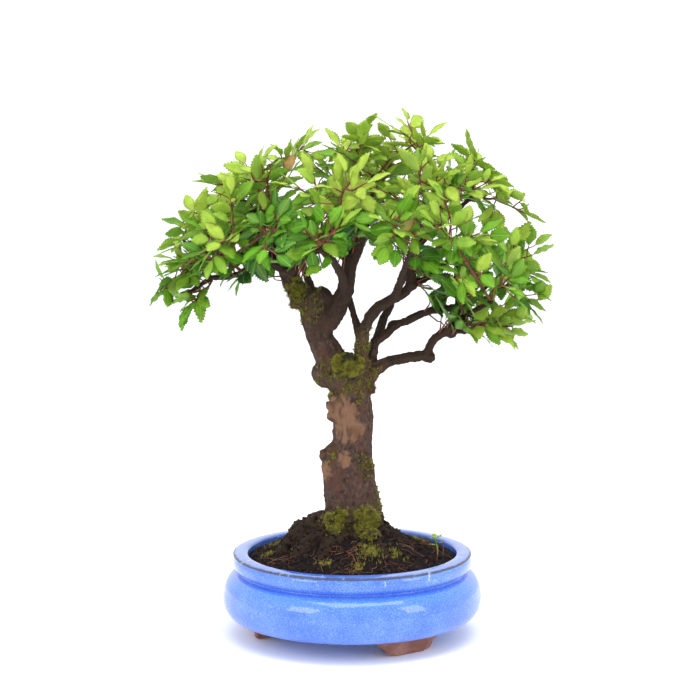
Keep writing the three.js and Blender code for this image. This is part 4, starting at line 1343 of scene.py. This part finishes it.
@dataclass
class BladePattern:
    """One thin leaf blade with a toothed edge, laid out once and bent to each leaf."""

    teeth: int = 9
    columns: tuple[float, ...] = (-1.0, -0.5, 0.0, 0.5, 1.0)
    tooth_reach: float = 0.13
    thickness: float = 0.26
    broadest: float = 0.47
    petiole: float = 1.7

    def __post_init__(self) -> None:
        """Numbers the points of the upper and lower sides, which share the edge."""
        stations = 2 * self.teeth + 2
        rows, numbers = [], {}
        for i in range(stations + 1):
            for j, v in enumerate(self.columns):
                at_end = i in (0, stations)
                for side in (1, -1):
                    key = (i, 2 if at_end else j, 0 if at_end or abs(v) == 1 else side)
                    if key not in numbers:
                        numbers[key] = len(rows)
                        tooth = 1.0 if i % 2 and not at_end else 0.0
                        rows.append((i / stations, 0.0 if at_end else v, key[2], tooth))
        self.rows = np.array(rows)
        self.faces: list[tuple[int, ...]] = []

        def number(i: int, j: int, side: int) -> int:
            """Returns the number of the point at a station and column on a side."""
            at_end = i in (0, stations)
            edge = at_end or abs(self.columns[j]) == 1
            return numbers[(i, 2 if at_end else j, 0 if edge else side)]

        for i in range(stations):
            for j in range(len(self.columns) - 1):
                for side in (1, -1):
                    corners = [(i, j), (i + 1, j), (i + 1, j + 1), (i, j + 1)]
                    ring = [number(a, b, side) for a, b in corners]
                    face = tuple(dict.fromkeys(ring if side < 0 else ring[::-1]))
                    if len(face) > 2:
                        self.faces.append(face)

    def outline(self, u: np.ndarray) -> np.ndarray:
        """Returns the blade's half width at each share of its length, 1 where it is broadest."""
        low = np.clip(u / self.broadest, 0, 1)
        high = np.clip((1 - u) / (1 - self.broadest), 0, 1)
        return np.sin(np.pi / 2 * low) ** 0.82 * np.sin(np.pi / 2 * high) ** 1.04

    def add_to(
        self, shape: Shape, plan: LeafPlan, rng: np.random.Generator, autumn: float
    ) -> None:
        """Bends the pattern to a plan and adds it, with its stalk, to a shape.

        Args:
            shape: The shoot that the leaf is part of.
            plan: Where the leaf stands.
            rng: Steady randomness for its bends.
            autumn: 1 for a leaf that has turned tan, or 0.
        """
        u, v, side, tooth = self.rows.T
        across = unit(np.cross(plan.upper, plan.heading))
        upper = np.cross(plan.heading, across)
        length = plan.length - self.petiole
        half = plan.width / 2 * self.outline(u)
        edge = np.abs(v) ** 3
        out = v * half + np.sign(v) * tooth * edge * self.tooth_reach * plan.width
        fold = rng.uniform(0.1, 0.3)
        droop = rng.normal(0.06, 0.07)
        curl = rng.normal(0.0, 0.06)
        ripple = rng.uniform(0.1, 0.5)
        ripple = ripple * np.sin(u * 2 * np.pi * rng.uniform(2, 3.2) + rng.uniform(0, 6))
        lift = fold * np.abs(v) * half - droop * length * u**2 + ripple * v**2
        lift += curl * v * half + side * self.thickness / 2 * (1 - v**2)
        along = u * length + tooth * edge * 0.018 * length
        sway = rng.normal(0, 0.05) * length * u**2
        root = plan.base + plan.heading * self.petiole
        points = root + np.outer(along, plan.heading) + np.outer(out + sway, across)
        points += np.outer(lift, upper)
        tone = float(np.clip(plan.tone + rng.normal(0, 0.13), 0, 1))
        shape.add(
            points,
            self.faces,
            tone=tone,
            under=(side < 0).astype(float),
            out_mm=np.abs(v) * half,
            along_mm=u * length,
            autumn=autumn,
        )
        stalk = np.array([plan.base, root + plan.heading * 0.9 + upper * 0.05])
        shape.add(*tube(stalk, np.array([0.42, 0.3]), 5), 1, straw=0.45)


@dataclass
class Shoots:
    """Every leafy shoot of the crown: its twigs, the leaves on them and the spurs between."""

    pattern: BladePattern = field(default_factory=BladePattern)
    leaf_length: float = 24.0
    leaf_width: float = 13.0
    # Where a leaf of the solid is broadest, in shares of its length, and how high it is arched.
    shoulder: float = 0.45
    crown: float = 1.0
    # The solid's leaves are plain kites, so a real blade is drawn slimmer than they are.
    slimness: float = 0.77
    spur_pitch: int = 4
    spurs_per_part: int = 90
    # Where the leaves of a spur stand on it, in shares of its length, and the side each is on.
    spur_leaves: tuple[tuple[float, int], ...] = ((0.45, 1), (0.7, -1), (0.9, 1), (1.0, 0))
    leaf_room: float = 8.5
    autumn_share: float = 0.006
    autumn_share_on_spurs: float = 0.004
    # The crown as an egg: its middle, its half sizes, and how far in a leaf keeps its shoot's own
    # tone, with painted shade further in and painted light further out.
    heart: tuple[float, float, float] = (0.0, 0.0, 278.0)
    half_sizes: tuple[float, float, float] = (160, 180, 140)
    inside: float = 0.68
    half_depth: float = 138
    # The clear space under the middle of the crown: its X range, and the lowest tip and base.
    clear_x: tuple[float, float] = (-2, 50)
    clear_tip_z: float = 307
    clear_base_z: float = 325
    # The crown's underside seen from the front, as X and the lowest Z a spur leaf may reach.
    underside_x: tuple[float, ...] = (-165, -130, -116, -90, -62, -40, 10, 46, 58, 80, 120, 165)
    underside_z: tuple[float, ...] = (271, 265, 283, 283, 292, 299, 313, 313, 271, 245, 237, 257)
    # Its top seen from the front, as X and the highest Z.
    dome_x: tuple[float, ...] = (
        -165, -154, -136, -110, -88, -61, -17, 12, 30, 65, 102, 129, 152, 165,
    )
    dome_z: tuple[float, ...] = (
        276, 299, 337, 363, 387, 399, 400, 415, 419, 409, 395, 363, 341, 285,
    )
    placed: list[np.ndarray] = field(default_factory=list)
    leaf_count: int = 0

    def read_leaves(
        self, points: np.ndarray, triangles: np.ndarray, tone: float
    ) -> list[LeafPlan]:
        """Finds the leaves of a shoot in its solid, from their two shoulders and their tip.

        Args:
            points: The solid's points.
            triangles: Its triangles.
            tone: How young the shoot's leaves are.

        Returns:
            One plan for each leaf.
        """
        beside: dict[int, set[int]] = {}
        for a, b, c in triangles:
            beside.setdefault(a, set()).update((b, c))
            beside.setdefault(b, set()).update((a, c))
            beside.setdefault(c, set()).update((a, b))
        faces = {frozenset(t): t for t in map(tuple, triangles)}
        plans = []
        for left, others in beside.items():
            for right in others:
                if right < left:
                    continue
                width = float(np.linalg.norm(points[left] - points[right]))
                length = width * self.leaf_length / self.leaf_width
                if not 8 < width < 18:
                    continue
                far = (1 - self.shoulder) * length
                edge = math.sqrt(far**2 + self.crown**2 + (width / 2) ** 2)
                for tip in others & beside[right]:
                    reach = [np.linalg.norm(points[tip] - points[p]) for p in (left, right)]
                    if max(abs(r - edge) for r in reach) < 0.03:
                        face = faces.get(frozenset((left, right, tip)))
                        plans.append(self.plan_from(points, left, right, tip, face, length, tone))
        return plans

    def plan_from(
        self,
        points: np.ndarray,
        left: int,
        right: int,
        tip: int,
        face: Optional[tuple[int, int, int]],
        length: float,
        tone: float,
    ) -> LeafPlan:
        """Works out a leaf's frame from its shoulders, its tip and its upper face."""
        middle = (points[left] + points[right]) / 2
        side = unit(points[left] - points[right])
        reach = points[tip] - middle
        span = float(np.linalg.norm(reach))
        normal = unit(np.cross(side, reach))
        if face is not None:
            a, b, c = points[list(face)]
            if np.dot(np.cross(b - a, c - a), normal) < 0:
                normal = -normal
        elif normal[2] < 0:
            normal = -normal
        far = (1 - self.shoulder) * length
        along = reach / span
        heading = far / span * along + self.crown / span * normal
        upper = -self.crown / span * along + far / span * normal
        base = middle - self.shoulder * length * heading - self.crown * upper
        width = float(np.linalg.norm(points[left] - points[right])) * self.slimness
        return LeafPlan(base, heading, upper, length, width, tone)

    def skeleton(self, bases: np.ndarray, foot: np.ndarray) -> list[int]:
        """Joins leaf bases to the foot by the shortest tree.

        Args:
            bases: Where the leaves stand.
            foot: Where the shoot leaves its limb.

        Returns:
            For each base, the number of the one before it, or -1 for the foot.
        """
        before = [-1] * len(bases)
        cost = np.linalg.norm(bases - foot, axis=1)
        left = set(range(len(bases)))
        while left:
            nearest = min(left, key=lambda i: cost[i])
            left.remove(nearest)
            for i in left:
                reach = float(np.linalg.norm(bases[i] - bases[nearest]))
                if reach < cost[i]:
                    cost[i], before[i] = reach, nearest
        return before

    def twigs(self, bases: np.ndarray, foot: np.ndarray) -> list[tuple[np.ndarray, np.ndarray]]:
        """Draws the twigs through the leaf bases, thicker where they carry more leaves.

        Args:
            bases: Where the leaves stand.
            foot: Where the shoot leaves its limb.

        Returns:
            A smooth route and its radii for each twig.
        """
        before = self.skeleton(bases, foot)
        after: dict[int, list[int]] = {}
        for i, j in enumerate(before):
            after.setdefault(j, []).append(i)
        carried: dict[int, int] = {}

        def carry(i: int) -> int:
            """Counts the leaves at and beyond a base."""
            carried[i] = 1 + sum(carry(j) for j in after.get(i, []))
            return carried[i]

        for i in after.get(-1, []):
            carry(i)
        drawn = []
        starts = [(-1, i) for i in after.get(-1, [])]
        while starts:
            root, i = starts.pop()
            chain = [foot if root < 0 else bases[root], bases[i]]
            loads = [carried[i], carried[i]]
            while after.get(i):
                following = sorted(after[i], key=lambda j: -carried[j])
                starts += [(i, j) for j in following[1:]]
                i = following[0]
                chain.append(bases[i])
                loads.append(carried[i])
            route = rounded_route(np.array(chain), 4)
            load = np.interp(np.linspace(0, 1, len(route)), np.linspace(0, 1, len(loads)), loads)
            drawn.append((route, 0.34 + 0.19 * np.sqrt(load)))
        return drawn

    def has_room(self, spot: np.ndarray) -> bool:
        """Returns whether a leaf centred on a spot is inside the crown and clear of the others."""
        low = np.array(CAD_BOX[0]) / MM + 4
        high = np.array(CAD_BOX[1]) / MM - 4
        floor = np.interp(spot[0], self.underside_x, self.underside_z) + 4
        floor -= 0.12 * abs(spot[1])
        # The dome gets lower towards the front and the back of the crown.
        depth = math.sqrt(max(1 - (spot[1] / self.half_depth) ** 2, 0))
        roof = np.interp(spot[0], self.dome_x, self.dome_z) - self.heart[2] - 10
        roof = self.heart[2] + roof * depth
        if np.any(spot < low) or np.any(spot > high) or spot[2] < floor or spot[2] > roof:
            return False
        near = np.array(self.placed)
        return bool(np.min(np.linalg.norm(near - spot, axis=1)) > self.leaf_room)

    def spur(
        self,
        shape: Shape,
        spot: np.ndarray,
        way: np.ndarray,
        tone: float,
        rng: np.random.Generator,
    ) -> None:
        """Grows a short leafy spur from a spot on a twig or limb, if its leaves have room."""
        length = rng.uniform(7, 17)
        end = spot + way * length
        outward = unit(end - np.array(self.heart))
        plans = []
        for share, turned in self.spur_leaves:
            facing = unit(outward * 0.6 + UP * 0.55 + rng.normal(0, 0.45, 3))
            facing = unit(facing - way * np.dot(facing, way) * 0.6)
            side = unit(np.cross(way, facing))
            turn = math.radians(rng.uniform(38, 66)) * turned
            tilt = facing * rng.normal(0, 0.15)
            heading = unit(way * math.cos(turn) + side * math.sin(turn) + tilt)
            facing = unit(facing - heading * np.dot(facing, heading))
            size = rng.uniform(0.6, 0.92)
            base = spot + way * length * share
            centre = base + heading * self.leaf_length * size * 0.5
            if self.has_room(centre):
                width = self.leaf_width * size * rng.uniform(0.8, 1.02)
                plans.append(
                    LeafPlan(base, heading, facing, self.leaf_length * size, width, tone)
                )
                self.placed.append(centre)
        if plans:
            bend = spot + way * length * 0.5 + rng.normal(0, 0.7, 3)
            route = rounded_route(np.array([spot, bend, end]), 3)
            shape.add(*tube(route, np.linspace(0.6, 0.4, len(route)), 6), 1, straw=0.1)
            for plan in plans:
                self.add_leaf(shape, plan, self.autumn_share_on_spurs, rng)

    def add_leaf(
        self, shape: Shape, plan: LeafPlan, turned: float, rng: np.random.Generator
    ) -> None:
        """Adds one leaf to a shoot, of which the given share has turned tan."""
        aged_and_lit = self.aged_and_lit(plan, rng)
        self.pattern.add_to(shape, aged_and_lit, rng, float(rng.uniform() < turned))
        self.leaf_count += 1

    def in_clear_centre(self, plan: LeafPlan) -> bool:
        """Returns whether a leaf hangs in the clear space under the middle of the crown."""
        tip = plan.base + plan.heading * plan.length
        across = self.clear_x[0] < tip[0] < self.clear_x[1]
        low = min(tip[2], plan.base[2]) < self.clear_tip_z
        return across and low and plan.base[2] < self.clear_base_z

    def aged_and_lit(self, plan: LeafPlan, rng: np.random.Generator) -> LeafPlan:
        """Returns the leaf paler towards the outside and the top of the crown, partly as younger
        growth and partly as painted light, and darker further in as painted shade.
        """
        middle = plan.base + plan.heading * plan.length / 2
        reach = (middle - np.array(self.heart)) / self.half_sizes
        outer = float(np.linalg.norm(reach)) - self.inside
        # Painted light and shade: the tone rises towards the outside and the top of the crown, and
        # falls further in.
        tone = plan.tone + 0.95 * outer + 0.35 * float(reach[2]) + 0.02
        length = plan.length * rng.uniform(0.84, 1.04)
        return LeafPlan(plan.base, plan.heading, plan.upper, length, plan.width, tone)

    def build(self) -> None:
        """Builds each shoot over its solid, then the spurs on the limbs inside the crown."""
        nodes = sorted(n for n in frame["nodes"] if n.startswith("shoot_"))
        wood_points, wood_faces = cad_points("trunk")
        wood = BVHTree.FromPolygons(wood_points.tolist(), wood_faces.tolist())
        plans = {}
        for node in nodes:
            points, triangles = cad_points(node)
            plans[node] = self.read_leaves(points, triangles, Tone.of(node).value[1])
            for plan in plans[node]:
                self.placed.append(plan.base + plan.heading * plan.length / 2)
        for number, node in enumerate(nodes):
            rng = np.random.default_rng(100 + number)
            points, _ = cad_points(node)
            gaps = [wood.find_nearest(Vector(p))[3] for p in points]
            foot = np.array(wood.find_nearest(Vector(points[int(np.argmin(gaps))]))[0])
            self.build_shoot(node, plans[node], foot, rng)
        self.build_limb_spurs(wood_points, wood_faces)
        log.info("leaves in all: %d", self.leaf_count)

    def build_shoot(
        self, node: str, plans: list[LeafPlan], foot: np.ndarray, rng: np.random.Generator
    ) -> None:
        """Builds one shoot: its twigs, its leaves, and spurs with more leaves between them."""
        shape = Shape()
        tone = Tone.of(node).value
        bases = np.array([plan.base for plan in plans])
        twigs = self.twigs(bases, foot)
        for route, radii in twigs:
            shape.add(*tube(route, radii, 8), 1, straw=0.0)
        for plan in plans:
            if not self.in_clear_centre(plan):
                self.add_leaf(shape, plan, self.autumn_share, rng)
        for route, _ in twigs:
            for i in range(2, len(route) - 1, self.spur_pitch):
                heading = unit(route[i + 1] - route[i - 1])
                outward = unit(route[i] - np.array(self.heart))
                way = unit(rng.normal(0, 1, 3) + outward * 0.7 + heading * 0.5 + UP * 0.2)
                way = unit(way - heading * np.dot(way, heading) * 0.5)
                self.spur(shape, route[i], way, tone[1] - 0.06, rng)
        for _ in range(2):
            self.add_bare_twig(shape, twigs[int(rng.integers(len(twigs)))][0], rng)
        shape.build(f"leafy_{node}", [WaxyElmLeaf(), YoungTwigBark()], tone[0], node)

    def add_bare_twig(self, shape: Shape, route: np.ndarray, rng: np.random.Generator) -> None:
        """Adds a short leafless twig end, left by pruning."""
        i = int(rng.integers(1, len(route) - 1))
        heading = unit(route[i + 1] - route[i - 1])
        way = unit(rng.normal(0, 0.6, 3) + heading)
        length = rng.uniform(6, 13)
        ends = np.array([route[i], route[i] + way * length / 2 + rng.normal(0, 0.6, 3)])
        ends = np.vstack([ends, route[i] + way * length])
        bare = rounded_route(ends, 3)
        shape.add(*tube(bare, np.linspace(0.6, 0.38, len(bare)), 6), 1, straw=0.2)

    def build_limb_spurs(self, points: np.ndarray, faces: np.ndarray) -> None:
        """Grows leafy spurs straight from the thin limbs, to fill the crown's inside."""
        rng = np.random.default_rng(5)
        centres = points[faces].mean(axis=1)
        high = centres[:, 2] > np.interp(centres[:, 0], self.underside_x, self.underside_z) - 22
        high &= centres[:, 2] > 231
        chosen = np.flatnonzero(high)
        for part, low, end in (("left", -200, -50), ("middle", -50, 45), ("right", 45, 200)):
            some = [i for i in chosen if low <= centres[i][0] < end]
            shape = Shape()
            for i in rng.choice(some, min(len(some), self.spurs_per_part), replace=False):
                a, b, c = points[faces[i]]
                normal = unit(np.cross(b - a, c - a))
                outward = unit(centres[i] - np.array(self.heart))
                way = unit(normal + UP * 0.35 + outward * 0.5 + rng.normal(0, 0.3, 3))
                # Their leaves start at tone 0.42, below a summer shoot's 0.5: painted shade inside
                # the crown.
                reach = rng.uniform(0, 12)
                spot = centres[i] - normal * 0.8
                if reach > 4:
                    stem = rounded_route(np.array([spot, spot + way * reach]), 3)
                    before = shape.count
                    self.spur(shape, stem[-1], way, 0.42, rng)
                    if shape.count > before:
                        shape.add(*tube(stem, np.full(len(stem), 0.65), 6), 1, straw=0.0)
                else:
                    self.spur(shape, spot, way, 0.42, rng)
            finishes = [WaxyElmLeaf(), YoungTwigBark()]
            shape.build(f"inner_spurs_{part}", finishes, Tone.SUMMER.value[0])


@dataclass
class WeedSeedling:
    """A young weed that stands in the soil near the wall."""

    pattern: BladePattern = field(default_factory=lambda: BladePattern(teeth=4, petiole=0.6))
    leaf_length: float = 7.5
    leaf_width: float = 3.2
    tone: float = 0.95
    # Each leaf's turn about the stem in degrees, its rise, and where on the stem it stands.
    leaves: tuple[tuple[float, float, float], ...] = (
        (20, 0.5, 1.0), (100, 0.9, 1.0), (170, 0.4, 0.95), (250, 0.6, 0.9), (320, 0.3, 0.75),
        (140, 0.1, 0.6),
    )

    def build(self) -> None:
        """Builds its stem and its soft narrow leaves inside the seedling's box."""
        low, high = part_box("seedling")
        foot = np.array([(low.x + high.x) / 2 + 0.001, (low.y + high.y) / 2, low.z]) / MM
        top = foot + np.array([-2.0, 0.0, (high.z - low.z) / MM - 1.5])
        rng = np.random.default_rng(3)
        shape = Shape()
        route = rounded_route(np.array([foot, (foot + top) / 2 + [0.8, 0.3, 0], top]))
        shape.add(*tube(route, np.linspace(0.6, 0.4, len(route)), 7), 0, tone=0.9, out_mm=5.0)
        for turn, rise, share in self.leaves:
            around = math.radians(turn)
            heading = unit(np.array([math.cos(around), math.sin(around), rise]))
            upper = unit(UP - heading * heading[2])
            base = foot + (top - foot) * share
            plan = LeafPlan(
                base, heading, upper, self.leaf_length, self.leaf_width, self.tone
            )
            self.pattern.add_to(shape, plan, rng, 0.0)
        shape.build("weed_seedling", [WaxyElmLeaf(), YoungTwigBark()], "seedling_leaf", "seedling")


# ---------------------------------------------------------------- studio


@dataclass
class Studio:
    """White paper, soft lights and the camera."""

    camera_at: tuple[float, float, float] = (-0.0016, -1.4, 0.38507)
    camera_pitch: float = 6.34
    lens: float = 90.83
    sensor: float = 36.0
    farthest: float = 50.0
    paper_reach: float = 8.0
    # The paper lies just under the feet, so that no two faces share a height.
    paper_height: float = -0.0003
    room_light: float = 1.25

    def build(self) -> None:
        """Builds the paper, the lights and the camera."""
        mesh = bpy.data.meshes.new("paper_floor")
        signs = ((-1, -1), (1, -1), (1, 1), (-1, 1))
        reach = self.paper_reach
        corners = [(x * reach, y * reach, self.paper_height) for x, y in signs]
        mesh.from_pydata(corners, [], [(0, 1, 2, 3)])
        mesh.materials.append(MattWhitePaper().material())
        floor = bpy.data.objects.new("paper_floor", mesh)
        bpy.context.scene.collection.objects.link(floor)
        world = bpy.data.worlds.new("white_room")
        world.use_nodes = True
        background = world.node_tree.nodes["Background"]
        background.inputs["Color"].default_value = (1.0, 1.0, 1.0, 1.0)
        background.inputs["Strength"].default_value = self.room_light
        bpy.context.scene.world = world
        self.add_light("overhead_softbox", (0.1, -0.25, 1.5), (0, 0, 0.25), (1.3, 1.0), 15.0)
        self.add_light("left_softbox", (-1.15, -1.1, 0.95), (0, 0, 0.2), (0.8, 0.8), 7.0)
        self.add_light("right_softbox", (1.25, -0.8, 0.75), (0, 0, 0.2), (0.5, 0.9), 4.5)
        camera = bpy.data.cameras.new("camera")
        camera.lens = self.lens
        camera.sensor_width = self.sensor
        camera.clip_end = self.farthest
        eye = bpy.data.objects.new("camera", camera)
        eye.location = self.camera_at
        eye.rotation_euler = (math.radians(90 - self.camera_pitch), 0, 0)
        bpy.context.scene.collection.objects.link(eye)
        bpy.context.scene.camera = eye
        bpy.context.scene.view_settings.view_transform = "Standard"

    def add_light(
        self,
        name: str,
        at: tuple[float, float, float],
        towards: tuple[float, float, float],
        size: tuple[float, float],
        power: float,
    ) -> None:
        """Adds a soft rectangular light that faces a point."""
        light = bpy.data.lights.new(name, "AREA")
        light.shape = "RECTANGLE"
        light.size, light.size_y = size
        light.energy = power
        lamp = bpy.data.objects.new(name, light)
        lamp.location = at
        lamp.rotation_euler = (Vector(towards) - Vector(at)).to_track_quat("-Z", "Y").to_euler()
        bpy.context.scene.collection.objects.link(lamp)


def main() -> None:
    """Builds the studio and every piece."""
    logging.basicConfig(level=logging.INFO, format="%(name)s %(message)s")
    Studio().build()
    GlazedPot().build()
    CloudFeet().build()
    soil = SoilBed()
    soil.build()
    mesh_node = frame["nodes"]["drainage_mesh"]
    mesh_node.data.materials.clear()
    mesh_node.data.materials.append(MouldedBlackPolyethylene().material())
    wood = ElmWood()
    wood.build()
    soil.dust_roots(wood.ledges)
    MossCushions(soil, wood).build()
    WeedSeedling().build()
    Shoots().build()


if __name__ == "__main__":
    main()
